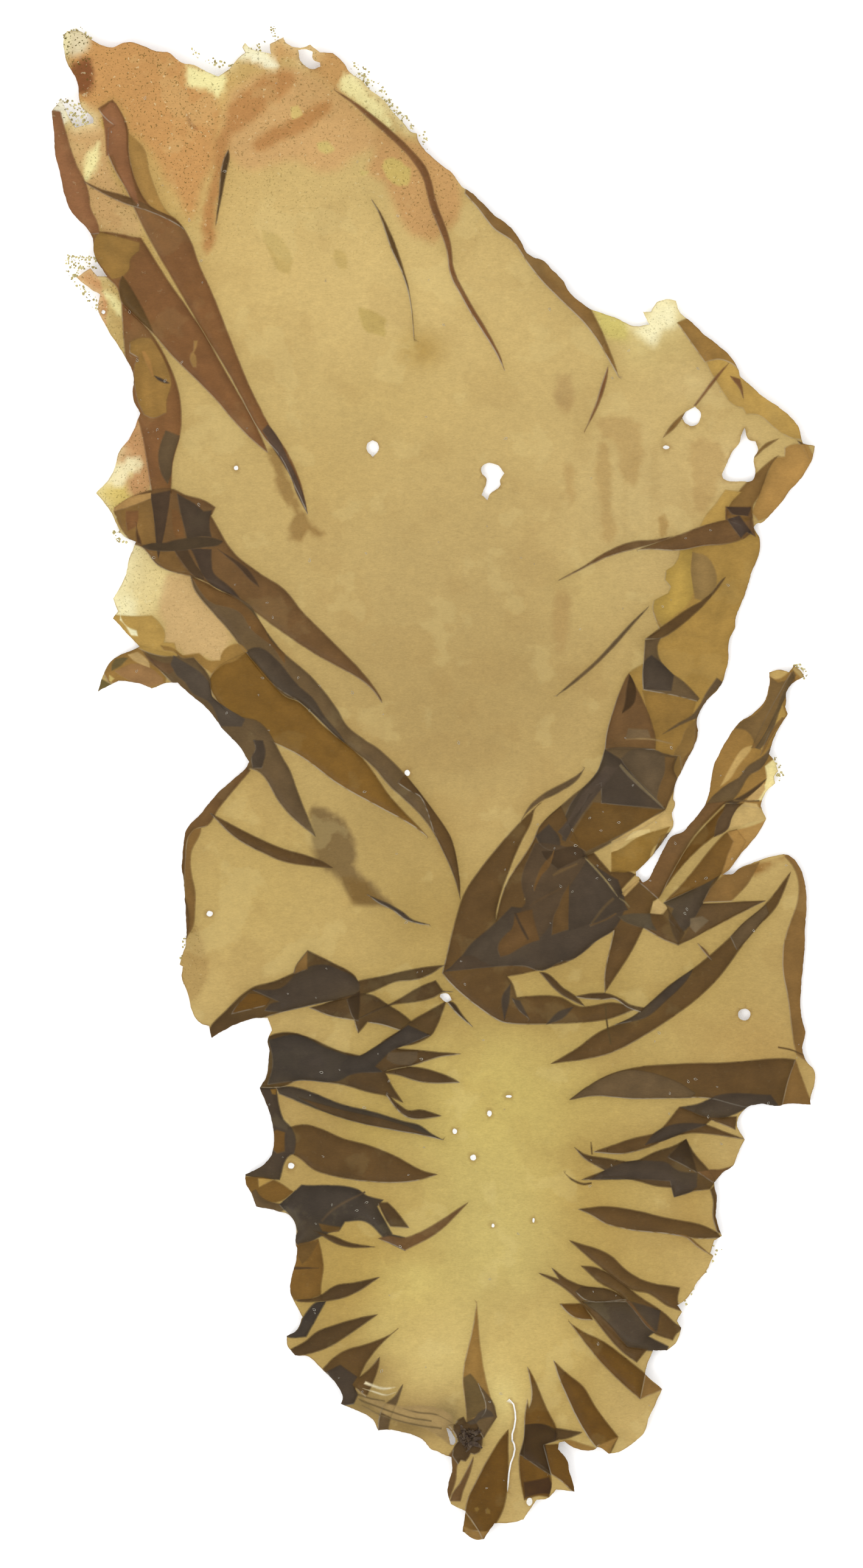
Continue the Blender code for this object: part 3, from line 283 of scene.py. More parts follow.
# The pinholes and the crack are too narrow to let light down through a skin that is drawn thicker than
# the real one, so the white ground that shows in them is a colour of the skin.
pinholes = [loop for loop, hole in zip(round_holes, ROUND_HOLES) if hole[2] <= PINHOLE]
pinholes.append(counted_round(slit(CRACK, CRACK_HALF_WIDTH)))

# The pleats and hems: where the blade was pressed with its skin lying on itself, it was folded over once
# (two layers), pleated (three) or crumpled (five). One layer is single skin seen between folds, and none
# is only the shade of a layer that shows through from below. The lowest come first.
UMBER = (128, 90, 58)
CHESTNUT = (112, 84, 55)
BROWN = (98, 75, 48)
GOLD = (106, 77, 40)
DARK = (88, 69, 47)
CHAR = (78, 67, 56)
SOOT = (71, 57, 42)
AMBER = (152, 117, 65)
TAWNY = (134, 102, 60)
HONEY = (172, 133, 76)
OLIVE = (186, 151, 83)
GREY = (103, 84, 60)
INK = (72, 64, 56)
CLAY = (146, 102, 70)
TAN = (198, 164, 102)
BRONZE = (121, 90, 49)
FOLDS = [
    ("first_amber_strip", 2, HONEY, [113, 2112, 126, 2101, 139, 2086, 147, 2052, 168, 1999, 187, 1980,
     170, 1975, 145, 1999, 126, 2038, 116, 2078]),
    ("first_long", 3, UMBER, [70, 2147, 81, 2133, 95, 2122, 85, 2117, 85, 2080, 92, 2062, 117, 2016,
     123, 1999, 205, 1851, 268, 1745, 317, 1657, 342, 1627, 367, 1577, 384, 1539, 376, 1577, 354, 1630,
     325, 1674, 298, 1728, 273, 1787, 242, 1868, 223, 1908, 208, 1950, 187, 1980, 150, 1999, 126, 2038,
     116, 2078, 113, 2120, 103, 2143, 91, 2160]),
    ("second_long", 3, UMBER, [60, 1910, 86, 1891, 99, 1877, 105, 1857, 121, 1839, 150, 1811, 179, 1779,
     244, 1713, 270, 1682, 302, 1649, 324, 1631, 307, 1669, 283, 1713, 208, 1842, 181, 1879, 134, 1953,
     72, 1962, 56, 1960]),
    ("second_light", 2, AMBER, [60, 1930, 65, 1952, 72, 1962, 132, 1946, 132, 1934, 118, 1920, 117, 1907,
     106, 1895, 90, 1891]),
    ("second_dark", 5, BROWN, [106, 1896, 113, 1887, 142, 1836, 153, 1811, 126, 1834, 111, 1849,
     105, 1860, 102, 1886]),
    ("left_strip", 3, CLAY, [13, 2143, 26, 2096, 39, 2059, 49, 2041, 56, 2018, 58, 1999, 70, 1973,
     72, 1960, 52, 1958, 20, 1996, 1, 2059, -4, 2105, -6, 2146]),
    ("third_strip", 3, UMBER, [105, 1857, 107, 1810, 111, 1771, 115, 1750, 115, 1710, 126, 1690,
     149, 1577, 154, 1514, 160, 1471, 170, 1514, 179, 1577, 181, 1614, 193, 1658, 195, 1685, 190, 1725,
     174, 1768, 153, 1805]),
    ("third_light", 2, AMBER, [117, 1797, 133, 1804, 149, 1803, 160, 1787, 179, 1736, 173, 1709,
     173, 1691, 152, 1683, 139, 1688, 131, 1704, 124, 1733, 125, 1765, 131, 1773, 117, 1781]),
    ("crossing", 3, CHESTNUT, [48, 2038, 72, 2027, 117, 2014, 158, 1995, 189, 1977, 200, 1965, 187, 1974,
     147, 1993, 106, 2006, 64, 2027]),
    ("fifth_long", 3, UMBER, [424, 2175, 448, 2161, 482, 2137, 548, 2076, 564, 2053, 578, 2005, 598, 1947,
     603, 1908, 621, 1869, 673, 1776, 680, 1753, 665, 1784, 618, 1860, 600, 1895, 592, 1937, 569, 1999,
     554, 2050, 467, 2140, 448, 2157]),
    ("sixth_thin", 3, BROWN, [480, 2011, 492, 1989, 509, 1939, 527, 1899, 539, 1852, 544, 1801, 541, 1844,
     531, 1896, 496, 1986]),
    ("seventh_thin", 3, DARK, [265, 2086, 267, 2078, 262, 2052, 246, 1972, 251, 2018, 258, 2070]),
    ("ninth_margin", 3, TAWNY, [623, 2036, 654, 2005, 693, 1973, 715, 1936, 738, 1928, 802, 1856,
     844, 1768, 851, 1744, 807, 1817, 741, 1883, 713, 1918, 693, 1947, 663, 1968, 639, 1999, 620, 2020]),
    ("tenth_thin", 3, UMBER, [835, 1760, 832, 1737, 823, 1708, 799, 1662, 819, 1711, 828, 1740]),
    ("corner_hem", 2, OLIVE, [982, 1766, 1001, 1732, 1022, 1703, 1037, 1698, 1042, 1689, 1061, 1687,
     1087, 1666, 1110, 1653, 1136, 1650, 1126, 1674, 1089, 1710, 1048, 1743, 1034, 1772, 1004, 1802,
     980, 1780]),
    ("corner_brown", 2, AMBER, [959, 1836, 1006, 1798, 1030, 1774, 1039, 1746, 1022, 1764, 1003, 1771,
     980, 1767, 938, 1826]),
    ("corner_first", 3, UMBER, [1016, 1765, 985, 1725, 967, 1701, 963, 1701, 977, 1721, 1003, 1753]),
    ("corner_second", 3, TAWNY, [953, 1693, 935, 1668, 917, 1653, 927, 1669, 940, 1683]),
    ("corner_third", 3, UMBER, [1018, 1746, 1033, 1741, 1036, 1729, 1038, 1712, 1032, 1728, 1024, 1738]),
    ("corner_fourth", 3, TAWNY, [1091, 1652, 1074, 1640, 1052, 1622, 1071, 1644]),
    ("corner_fifth", 3, BROWN, [1119, 1649, 1129, 1644, 1137, 1621, 1126, 1638]),
    ("corner_lobe", 2, HONEY, [1084, 1624, 1100, 1625, 1100, 1638, 1110, 1643, 1134, 1644, 1146, 1620,
     1114, 1570, 1089, 1540, 1060, 1528, 1050, 1541]),
    ("corner_band", 3, TAWNY, [1090, 1626, 1074, 1615, 1015, 1549, 1011, 1533, 1052, 1533, 1052, 1551,
     1061, 1567, 1082, 1617]),
    ("corner_olive", 2, OLIVE, [1035, 1572, 1011, 1575, 998, 1556, 982, 1538, 972, 1520, 1011, 1528,
     1015, 1549]),
    ("side_hem", 2, (163, 130, 70), [943, 1485, 940, 1472, 932, 1460, 922, 1454, 920, 1440, 928, 1430,
     925, 1420, 904, 1409, 902, 1399, 913, 1364, 890, 1350, 888, 1314, 866, 1300, 850, 1266, 832, 1200,
     830, 1180, 943, 1176, 946, 1150, 974, 1190, 978, 1224, 988, 1254, 1016, 1285, 1024, 1345, 1034, 1386,
     1056, 1434, 1069, 1490, 1069, 1502, 1052, 1516, 980, 1494]),
    ("hem_olive", 0, (177, 146, 75), [943, 1485, 961, 1485, 959, 1457, 963, 1428, 961, 1414, 915, 1370,
     906, 1386, 902, 1399, 904, 1409, 925, 1420, 928, 1430, 920, 1440, 922, 1454, 932, 1460, 940, 1472]),
    ("hem_shadow", 0, (147, 119, 74), [961, 1482, 982, 1476, 993, 1462, 998, 1442, 993, 1422, 979, 1408,
     965, 1412, 959, 1457]),
    ("hem_waist", 0, (143, 111, 60), [886, 1274, 931, 1274, 970, 1266, 960, 1234, 966, 1222, 953, 1190,
     936, 1170, 902, 1180, 900, 1210]),
    ("hem_low", 0, (132, 103, 60), [934, 1180, 933, 1144, 950, 1146, 972, 1190, 976, 1224, 966, 1230,
     952, 1216, 944, 1196]),
    ("side_top", 3, CHESTNUT, [878, 1485, 930, 1504, 1011, 1530, 1049, 1531, 1048, 1508, 1034, 1500,
     1011, 1494, 980, 1492, 938, 1485, 896, 1486]),
    ("side_knot", 5, CHESTNUT, [1011, 1550, 1049, 1550, 1056, 1505, 1048, 1511, 1038, 1501, 1027, 1516,
     1011, 1531]),
    ("side_thin", 3, CHESTNUT, [760, 1439, 802, 1463, 823, 1477, 854, 1492, 875, 1498, 906, 1500,
     932, 1505, 901, 1494, 838, 1476]),
    ("side_lower_thin", 3, GREY, [757, 1266, 818, 1320, 872, 1378, 896, 1400, 826, 1322, 781, 1282]),
    ("side_diagonal", 3, BROWN, [890, 1351, 954, 1396, 974, 1408, 990, 1421, 1004, 1438, 1011, 1444,
     998, 1426, 966, 1390, 928, 1360, 914, 1353]),
    ("side_wedge", 3, GREY, [890, 1350, 914, 1353, 909, 1341, 914, 1318, 954, 1282, 972, 1262, 969, 1258,
     938, 1266, 888, 1276, 887, 1289]),
    ("side_wedge_dark", 5, CHAR, [888, 1276, 887, 1304, 890, 1318, 900, 1327, 912, 1318, 934, 1297,
     930, 1273]),
    ("side_fin", 3, CHESTNUT, [866, 1300, 888, 1258, 898, 1232, 906, 1204, 906, 1186, 830, 1186,
     834, 1216, 860, 1289]),
    ("side_claw", 5, GREY, [998, 1293, 982, 1270, 972, 1252, 959, 1236, 938, 1224, 916, 1208, 959, 1229,
     969, 1232, 977, 1250, 1008, 1286]),
    ("side_lower", 3, GREY, [830, 1186, 852, 1189, 880, 1188, 939, 1175, 933, 1155, 939, 1142, 926, 1112,
     920, 1094, 830, 1040, 760, 1005, 720, 1040, 732, 1070, 780, 1115, 799, 1130, 819, 1153]),
    ("side_lower_dark", 5, CHAR, [830, 1186, 860, 1166, 880, 1145, 920, 1097, 825, 1105, 825, 1136,
     807, 1126, 790, 1086, 770, 1046, 759, 1058, 782, 1109, 819, 1153]),
    ("left_upper", 3, CHESTNUT, [179, 1577, 201, 1567, 228, 1559, 245, 1549, 239, 1536, 275, 1479,
     312, 1450, 349, 1426, 375, 1394, 460, 1308, 477, 1288, 493, 1264, 496, 1256, 480, 1277, 460, 1293,
     400, 1326, 338, 1367, 294, 1399, 228, 1439, 160, 1462, 137, 1488, 120, 1496, 94, 1548, 120, 1565]),
    ("left_upper_pale", 2, TAWNY, [93, 1543, 110, 1547, 149, 1562, 152, 1550, 159, 1497, 136, 1493,
     112, 1506, 103, 1519]),
    ("left_middle", 3, GREY, [208, 1447, 215, 1425, 239, 1394, 268, 1362, 294, 1327, 351, 1265, 370, 1258,
     430, 1202, 482, 1160, 501, 1138, 562, 1076, 591, 1026, 606, 988, 613, 961, 611, 996, 600, 1049,
     583, 1079, 530, 1148, 488, 1188, 470, 1200, 442, 1222, 430, 1243, 394, 1290, 346, 1333, 320, 1365,
     296, 1403, 242, 1428]),
    ("left_middle_brown", 3, BROWN, [519, 1136, 530, 1148, 583, 1079, 600, 1049, 611, 996, 613, 961,
     603, 998, 572, 1066, 566, 1086, 552, 1116, 540, 1122]),
    ("left_middle_dark", 5, CHAR, [291, 1333, 304, 1339, 317, 1337, 338, 1320, 370, 1282, 391, 1263,
     409, 1236, 433, 1208, 444, 1189, 370, 1258, 346, 1273, 309, 1307]),
    ("left_broad", 3, (124, 92, 47), [236, 1290, 247, 1307, 291, 1332, 328, 1289, 351, 1265, 370, 1257,
     404, 1224, 468, 1170, 506, 1117, 565, 1054, 540, 1072, 428, 1136, 372, 1177, 307, 1208, 283, 1224,
     242, 1268]),
    ("left_edge_fold", 3, GREY, [132, 1343, 163, 1333, 181, 1330, 187, 1332, 202, 1324, 212, 1325,
     236, 1295, 240, 1265, 262, 1248, 286, 1235, 311, 1227, 346, 1174, 359, 1150, 368, 1124, 396, 1055,
     359, 1086, 342, 1105, 312, 1151, 298, 1157, 289, 1150, 272, 1192, 228, 1242, 200, 1265, 146, 1315,
     106, 1322]),
    ("left_edge_dark", 5, CHAR, [302, 1200, 317, 1199, 321, 1182, 315, 1158, 302, 1158, 300, 1174,
     306, 1187]),
    ("left_flap", 2, AMBER, [79, 1300, 90, 1319, 132, 1343, 172, 1293, 170, 1280, 150, 1272, 126, 1282,
     86, 1286]),
    ("left_olive", 2, OLIVE, [90, 1388, 119, 1386, 150, 1387, 160, 1378, 170, 1360, 168, 1346, 184, 1345,
     189, 1326, 163, 1326, 126, 1340, 86, 1382]),
    ("margin_strip", 3, CHESTNUT, [298, 1154, 250, 1096, 234, 1072, 214, 1066, 205, 1054, 201, 1029,
     200, 970, 206, 945, 209, 922, 202, 901, 194, 915, 189, 1030, 196, 1072, 245, 1125, 284, 1162]),
    ("margin_hem", 2, TAWNY, [224, 1068, 223, 1060, 210, 1032, 209, 1008, 215, 972, 215, 943, 213, 922,
     202, 901, 206, 925, 200, 970, 201, 1029, 205, 1054, 214, 1066]),
    ("waist_cross", 3, BROWN, [238, 1090, 294, 1060, 346, 1037, 406, 1018, 422, 1008, 383, 1012,
     346, 1018, 322, 1028, 273, 1056]),
    ("waist_short", 3, CHAR, [474, 968, 522, 945, 542, 930, 566, 923, 553, 924, 530, 931, 512, 945,
     490, 956]),
    ("hip_left", 3, DARK, [240, 772, 257, 790, 300, 828, 333, 837, 363, 850, 367, 862, 384, 884, 417, 868,
     456, 845, 459, 838, 574, 861, 600, 862, 587, 860, 569, 849, 548, 841, 516, 837, 480, 822, 456, 814,
     417, 808, 370, 798, 314, 782, 266, 763, 240, 746, 234, 760]),
    ("hip_left_amber", 3, GOLD, [276, 799, 295, 820, 307, 820, 328, 811, 322, 802, 270, 789]),
    ("hip_left_dark", 5, CHAR, [300, 825, 346, 829, 370, 852, 407, 863, 433, 855, 456, 843, 462, 832,
     461, 823, 443, 812, 417, 808, 375, 798, 341, 792, 320, 794, 328, 804, 341, 807]),
    ("hip_flap", 2, TAWNY, [364, 849, 367, 862, 375, 871, 384, 884, 384, 856]),
    ("hip_lower", 3, DARK, [386, 798, 476, 818, 504, 803, 527, 788, 548, 770, 568, 756, 523, 765,
     501, 772, 474, 777, 460, 760, 454, 780, 420, 786]),
    ("hip_lower_dark", 5, SOOT, [443, 811, 446, 800, 454, 781, 460, 778, 462, 799, 462, 823]),
    ("hip_spear", 3, DARK, [459, 781, 485, 795, 508, 804, 550, 828, 576, 839, 587, 824, 603, 822,
     587, 821, 574, 814, 548, 807, 511, 802]),
    ("hip_kite", 3, DARK, [591, 807, 538, 777, 519, 761, 501, 750, 527, 741, 568, 756, 579, 774]),
    ("hip_blade", 3, SOOT, [593, 808, 602, 806, 616, 788, 632, 769, 610, 788, 596, 804]),
    ("side_cluster", 3, DARK, [312, 679, 320, 700, 320, 750, 334, 759, 367, 760, 429, 734, 462, 726,
     480, 736, 501, 751, 535, 772, 567, 757, 519, 737, 614, 729, 579, 724, 542, 712, 501, 703, 516, 707,
     542, 710, 598, 694, 612, 686, 553, 687, 516, 698, 501, 700, 511, 680, 527, 656, 506, 665, 474, 672,
     440, 682, 409, 687, 367, 689, 349, 680]),
    ("side_cluster_dark", 5, INK, [325, 750, 367, 758, 417, 736, 462, 726, 480, 736, 535, 772, 566, 757,
     538, 744, 515, 736, 496, 721, 485, 710, 496, 702, 450, 698, 430, 688, 370, 689, 324, 683, 332, 715]),
    ("side_finger", 3, INK, [337, 678, 349, 680, 362, 680, 436, 653, 482, 642, 527, 628, 552, 622,
     572, 608, 587, 600, 553, 608, 508, 616, 438, 632, 341, 669]),
    ("side_finger_brown", 3, DARK, [370, 664, 420, 649, 527, 623, 560, 609, 587, 600, 553, 608, 508, 616,
     438, 632, 396, 649]),
    ("side_hook", 3, DARK, [503, 672, 509, 664, 521, 653, 535, 644, 553, 645, 585, 636, 576, 634,
     539, 632, 527, 638, 517, 647, 502, 668]),
    ("side_leaf", 3, BROWN, [354, 619, 380, 623, 400, 618, 436, 602, 474, 592, 514, 576, 553, 555,
     579, 548, 553, 540, 511, 536, 470, 538, 430, 544, 394, 555, 370, 574, 357, 580, 352, 600]),
    ("side_margin", 3, CHAR, [308, 679, 337, 678, 348, 631, 359, 619, 366, 600, 364, 580, 354, 574,
     342, 540, 315, 542, 286, 547, 286, 553, 316, 569, 326, 586, 323, 636]),
    ("lobe_amber", 2, BRONZE, [285, 545, 310, 544, 333, 540, 363, 522, 344, 508, 315, 506, 294, 524,
     284, 536]),
    ("lobe_pale", 1, OLIVE, [310, 542, 333, 540, 325, 536, 311, 529]),
    ("lobe_dark", 3, GREY, [306, 525, 312, 516, 325, 508, 346, 503, 354, 498, 340, 490, 302, 495,
     296, 518]),
    ("lower_left", 5, INK, [342, 503, 375, 532, 459, 526, 472, 517, 498, 510, 489, 500, 512, 458,
     530, 454, 530, 434, 506, 446, 470, 477, 440, 477, 433, 465, 416, 460, 383, 445, 369, 442, 362, 450,
     369, 462, 362, 480]),
    ("lower_left_tip", 3, DARK, [489, 506, 504, 506, 516, 494, 536, 468, 508, 470, 501, 480]),
    ("lower_left_spear", 3, DARK, [392, 464, 422, 456, 446, 446, 486, 439, 451, 438, 428, 444]),
    ("lower_left_sabre", 2, CHESTNUT, [490, 452, 508, 456, 530, 454, 548, 460, 625, 506, 590, 470,
     572, 456, 530, 434, 515, 442]),
    ("thigh_flap", 2, BRONZE, [366, 442, 400, 451, 408, 410, 404, 380, 404, 367, 383, 360, 364, 360,
     354, 374, 354, 390, 362, 434]),
    ("thigh_pleat", 3, DARK, [364, 360, 396, 364, 428, 382, 451, 385, 492, 394, 462, 374, 433, 362,
     396, 357, 370, 357]),
    ("thigh_dark", 3, INK, [396, 356, 412, 358, 382, 304, 360, 303, 348, 306, 366, 313, 376, 332,
     386, 347]),
    ("thigh_spear", 3, DARK, [358, 286, 380, 297, 399, 312, 425, 322, 462, 333, 489, 338, 464, 320,
     409, 286, 363, 274]),
    ("knee_big", 3, BROWN, [406, 256, 422, 272, 443, 285, 470, 293, 506, 307, 520, 317, 501, 300,
     482, 279, 470, 262, 462, 244, 477, 256, 492, 274, 490, 259, 472, 214, 456, 228, 453, 204, 432, 201,
     432, 215, 420, 238]),
    ("knee_dark", 3, CHAR, [412, 252, 433, 262, 458, 244, 451, 233, 460, 218, 453, 204, 430, 200,
     431, 216]),
    ("knee_band", 3, GREY, [489, 160, 492, 184, 498, 200, 514, 214, 527, 233, 520, 211, 508, 182,
     504, 161]),
    ("foot_spear", 2, AMBER, [638, 356, 644, 286, 654, 230, 668, 184, 646, 153, 622, 170, 622, 191,
     617, 244, 632, 317]),
    ("foot_spear_dark", 3, GREY, [640, 235, 663, 204, 668, 184, 648, 153, 636, 176, 650, 190, 652, 200]),
    ("foot_left", 2, CHESTNUT, [610, 147, 620, 126, 610, 114, 606, 89, 596, 60, 588, 73, 599, 108,
     596, 126]),
    ("foot_small", 3, CHESTNUT, [633, 124, 628, 102, 618, 76, 613, 58, 598, 58, 600, 67, 613, 86]),
    ("foot_leaf", 3, GOLD, [685, 165, 670, 146, 630, 74, 624, 60, 620, 42, 640, 14, 649, -4, 678, 48,
     684, 82]),
    ("foot_leaf_hem", 2, BRONZE, [620, 42, 632, 24, 640, 14, 610, 10, 612, 26]),
    ("foot_fin", 3, GOLD, [714, 259, 718, 238, 720, 212, 716, 198, 714, 211, 710, 188, 708, 150, 702, 128,
     702, 97, 709, 59, 731, 66, 746, 64, 750, 84, 748, 102, 738, 142, 760, 149, 756, 170, 744, 194,
     723, 244]),
    ("foot_fin_dark", 5, SOOT, [710, 173, 736, 174, 762, 163, 762, 154, 738, 142, 749, 97, 702, 128,
     708, 150]),
    ("foot_fin_hem", 2, GOLD, [738, 142, 764, 144, 766, 131, 781, 116, 790, 82, 783, 70, 762, 90,
     749, 98]),
    ("foot_bridge", 3, DARK, [756, 168, 780, 164, 796, 161, 786, 156, 765, 150, 755, 151]),
    ("foot_bridge_hem", 2, AMBER, [766, 149, 776, 150, 796, 144, 818, 137, 802, 128, 782, 133]),
    ("shin_first", 3, GOLD, [753, 269, 770, 252, 799, 228, 816, 200, 850, 154, 836, 124, 820, 136,
     803, 157, 770, 222, 760, 246]),
    ("shin_first_hem", 2, AMBER, [819, 141, 850, 154, 841, 139, 837, 124, 820, 134]),
    ("shin_second", 3, GOLD, [776, 327, 794, 314, 828, 297, 852, 280, 891, 249, 883, 211, 862, 229,
     830, 260]),
    ("shin_second_hem", 2, TAWNY, [891, 249, 901, 238, 920, 226, 901, 219, 883, 211]),
    ("calf_upper", 3, BROWN, [777, 449, 836, 428, 862, 404, 886, 390, 942, 378, 939, 360, 944, 343,
     925, 350, 896, 369, 872, 374, 810, 420]),
    ("calf_middle", 3, BROWN, [794, 411, 818, 408, 850, 390, 883, 364, 917, 342, 940, 322, 949, 318,
     938, 309, 932, 299, 904, 310, 850, 369, 823, 385]),
    ("calf_dark", 5, CHAR, [795, 358, 838, 358, 870, 356, 913, 344, 909, 314, 896, 305, 926, 290,
     922, 280, 886, 285, 864, 290, 838, 312, 802, 348]),
    ("calf_left", 3, BROWN, [731, 400, 762, 390, 750, 408, 772, 392, 796, 382, 833, 377, 850, 370,
     868, 357, 798, 357, 830, 330, 864, 290, 894, 286, 878, 266, 858, 280, 794, 354, 768, 378]),
    ("calf_left_brown", 3, DARK, [786, 372, 796, 380, 833, 375, 862, 360, 803, 359]),
    ("calf_spur", 3, GOLD, [762, 354, 796, 354, 812, 330, 792, 332, 778, 338]),
    ("calf_sliver", 2, CHESTNUT, [861, 359, 872, 346, 900, 314, 907, 311, 882, 340, 867, 358]),
    ("right_low", 3, BROWN, [790, 496, 830, 500, 864, 496, 909, 486, 999, 460, 1004, 453, 969, 452,
     922, 460, 862, 466, 833, 474, 810, 487]),
    ("right_low_thin", 3, TAWNY, [930, 460, 954, 456, 969, 444, 992, 425, 966, 442, 954, 452]),
    ("right_knot", 3, DARK, [784, 589, 799, 579, 836, 572, 872, 568, 906, 582, 930, 590, 952, 601,
     966, 578, 988, 552, 996, 538, 988, 526, 959, 522, 934, 514, 930, 528, 909, 530, 862, 541, 795, 540,
     830, 554, 799, 572]),
    ("right_knot_dark", 5, CHAR, [830, 554, 864, 567, 906, 568, 922, 566, 940, 554, 969, 550, 968, 530,
     959, 522, 934, 514, 928, 538, 886, 540, 807, 540]),
    ("right_knot_cap", 5, SOOT, [952, 601, 962, 574, 969, 550, 940, 566, 924, 574, 943, 593]),
    ("right_knot_hem", 2, CHESTNUT, [969, 552, 988, 555, 1006, 556, 1028, 563, 1006, 546, 992, 536]),
    ("right_margin", 3, BROWN, [988, 525, 992, 511, 992, 484, 998, 462, 1012, 454, 1004, 487, 1005, 511,
     998, 536]),
    ("right_hem", 2, TAWNY, [1101, 1025, 1114, 1008, 1121, 977, 1098, 888, 1098, 852, 1104, 820,
     1113, 751, 1118, 728, 1138, 714, 1136, 736, 1139, 760, 1132, 794, 1134, 870, 1139, 917, 1140, 970,
     1132, 1007, 1109, 1036]),
    ("right_band", 3, BROWN, [777, 660, 804, 680, 838, 698, 886, 710, 948, 714, 1011, 716, 1098, 722,
     1116, 720, 1106, 691, 1096, 650, 1044, 649, 990, 662, 943, 663, 872, 662, 812, 666]),
    ("right_band_grey", 3, GREY, [777, 660, 804, 680, 838, 698, 870, 705, 940, 686, 966, 670, 959, 663,
     872, 662, 812, 666]),
    ("right_band_hem", 2, TAWNY, [1116, 720, 1126, 691, 1142, 650, 1096, 649, 1106, 691]),
    ("right_band_dark", 5, CHAR, [942, 649, 969, 654, 1003, 668, 1079, 667, 1091, 650, 1044, 647,
     1024, 638, 990, 630]),
    ("right_spear", 3, BROWN, [942, 649, 921, 623, 909, 612, 872, 602, 814, 582, 860, 580, 896, 589,
     930, 604, 964, 610, 1040, 601, 982, 623, 990, 630, 1026, 615, 1028, 635, 990, 634]),
    ("right_spear_dark", 5, CHAR, [906, 612, 928, 622, 956, 625, 983, 623, 951, 612, 917, 598, 890, 592]),
    ("arm_long", 3, BROWN, [749, 714, 789, 738, 820, 761, 870, 784, 896, 804, 928, 832, 962, 856,
     1019, 905, 1037, 924, 1068, 950, 1109, 1002, 1098, 972, 1086, 948, 1058, 918, 1030, 883, 1003, 846,
     972, 815, 932, 784, 891, 758, 836, 729]),
    ("arm_dark", 3, CHAR, [846, 773, 870, 784, 896, 804, 928, 832, 962, 856, 956, 844, 922, 809,
     895, 786]),
    ("arm_grey", 3, GREY, [1019, 905, 1037, 924, 1072, 953, 1076, 940, 1048, 906, 1028, 886]),
    ("arm_twig", 3, CHESTNUT, [969, 895, 982, 883, 990, 870, 979, 881]),
    ("heart_lens", 3, BROWN, [734, 1106, 708, 1082, 682, 1054, 644, 1008, 621, 973, 606, 930, 586, 850,
     600, 833, 663, 784, 680, 776, 736, 774, 807, 777, 838, 782, 875, 796, 844, 806, 792, 800, 762, 814,
     710, 815, 698, 814, 692, 834, 684, 845, 720, 852, 781, 871, 807, 892, 844, 914, 830, 849, 830, 821,
     870, 883, 888, 918, 917, 901, 940, 892, 1071, 959, 976, 954, 1004, 999, 986, 994, 950, 969, 919, 956,
     924, 948, 914, 938, 898, 940, 902, 958, 911, 964, 926, 998, 947, 1037, 982, 1082, 1012, 1109,
     1036, 1139, 1070, 1163, 1079, 1188, 1075, 1193, 1024, 1140, 970, 1096, 946, 1070, 914, 1056,
     902, 1025, 894, 994, 886, 992, 854, 968, 854, 975, 876, 998, 865, 1003, 838, 1002, 813, 1031,
     800, 1025, 764, 1101, 732, 1070, 723, 1049, 686, 992, 677, 972, 666, 930, 670, 954, 682, 992,
     704, 1046, 718, 1074, 726, 1098]),
    ("heart_thread", 3, GREY, [704, 1079, 718, 1102, 736, 1118, 789, 1148, 800, 1158, 789, 1140,
     762, 1122, 734, 1108, 712, 1090]),
    ("heart_low_dark", 5, CHAR, [588, 852, 600, 860, 615, 875, 630, 895, 660, 920, 690, 950, 710, 949,
     750, 975, 780, 990, 800, 1020, 850, 990, 860, 950, 843, 915, 820, 900, 785, 872, 760, 865, 736, 854,
     710, 861, 665, 860]),
    ("heart_block", 0, CHAR, [775, 1015, 800, 1020, 825, 1000, 845, 975, 865, 945, 840, 938, 810, 925,
     776, 913]),
    ("heart_sliver", 0, BROWN, [727, 975, 745, 1010, 755, 1040, 743, 990]),
    ("heart_diamond", 0, TAN, [709, 960, 720, 982, 722, 972, 716, 962]),
    ("heart_upper_dark", 0, CHAR, [726, 1056, 746, 1074, 762, 1054, 764, 1036, 748, 1034, 732, 1044]),
    ("heart_fold", 3, DARK, [732, 852, 744, 849, 768, 828, 788, 814, 800, 800, 762, 820]),
    ("heart_lip", 3, DARK, [786, 815, 812, 820, 832, 820, 849, 814, 870, 802, 890, 798, 884, 792,
     864, 799, 844, 812, 830, 811, 804, 812]),
    ("heart_low_left", 5, CHAR, [689, 835, 676, 815, 679, 780, 687, 810]),
    ("heart_low_middle", 5, CHAR, [690, 813, 703, 809, 718, 780, 700, 796]),
    ("heart_low_right", 5, CHAR, [742, 773, 760, 792, 782, 799, 766, 782]),
    ("kite_dark", 5, CHAR, [918, 955, 933, 947, 926, 930, 943, 910, 952, 916, 976, 953, 988, 980,
     1000, 995, 975, 981, 928, 962]),
    ("kite_spine", 5, DARK, [924, 948, 930, 915, 940, 894, 950, 910, 936, 930]),
    ("kite_amber", 2, TAWNY, [976, 956, 991, 980, 1006, 995, 1032, 1007, 1062, 1017, 1045, 985,
     1020, 958]),
    ("finger_lobe", 2, AMBER, [970, 1094, 980, 1112, 985, 1130, 990, 1161, 1013, 1208, 1046, 1240,
     1072, 1282, 1074, 1310, 1136, 1316, 1136, 1290, 1106, 1270, 1109, 1239, 1084, 1195, 1080, 1179,
     1096, 1158, 1089, 1135, 1075, 1116, 1066, 1097, 1012, 1107, 982, 1083]),
    ("finger_window", 0, TAN, [1003, 1130, 1030, 1179, 1037, 1187, 1052, 1192, 1048, 1183, 1030, 1161,
     1018, 1142]),
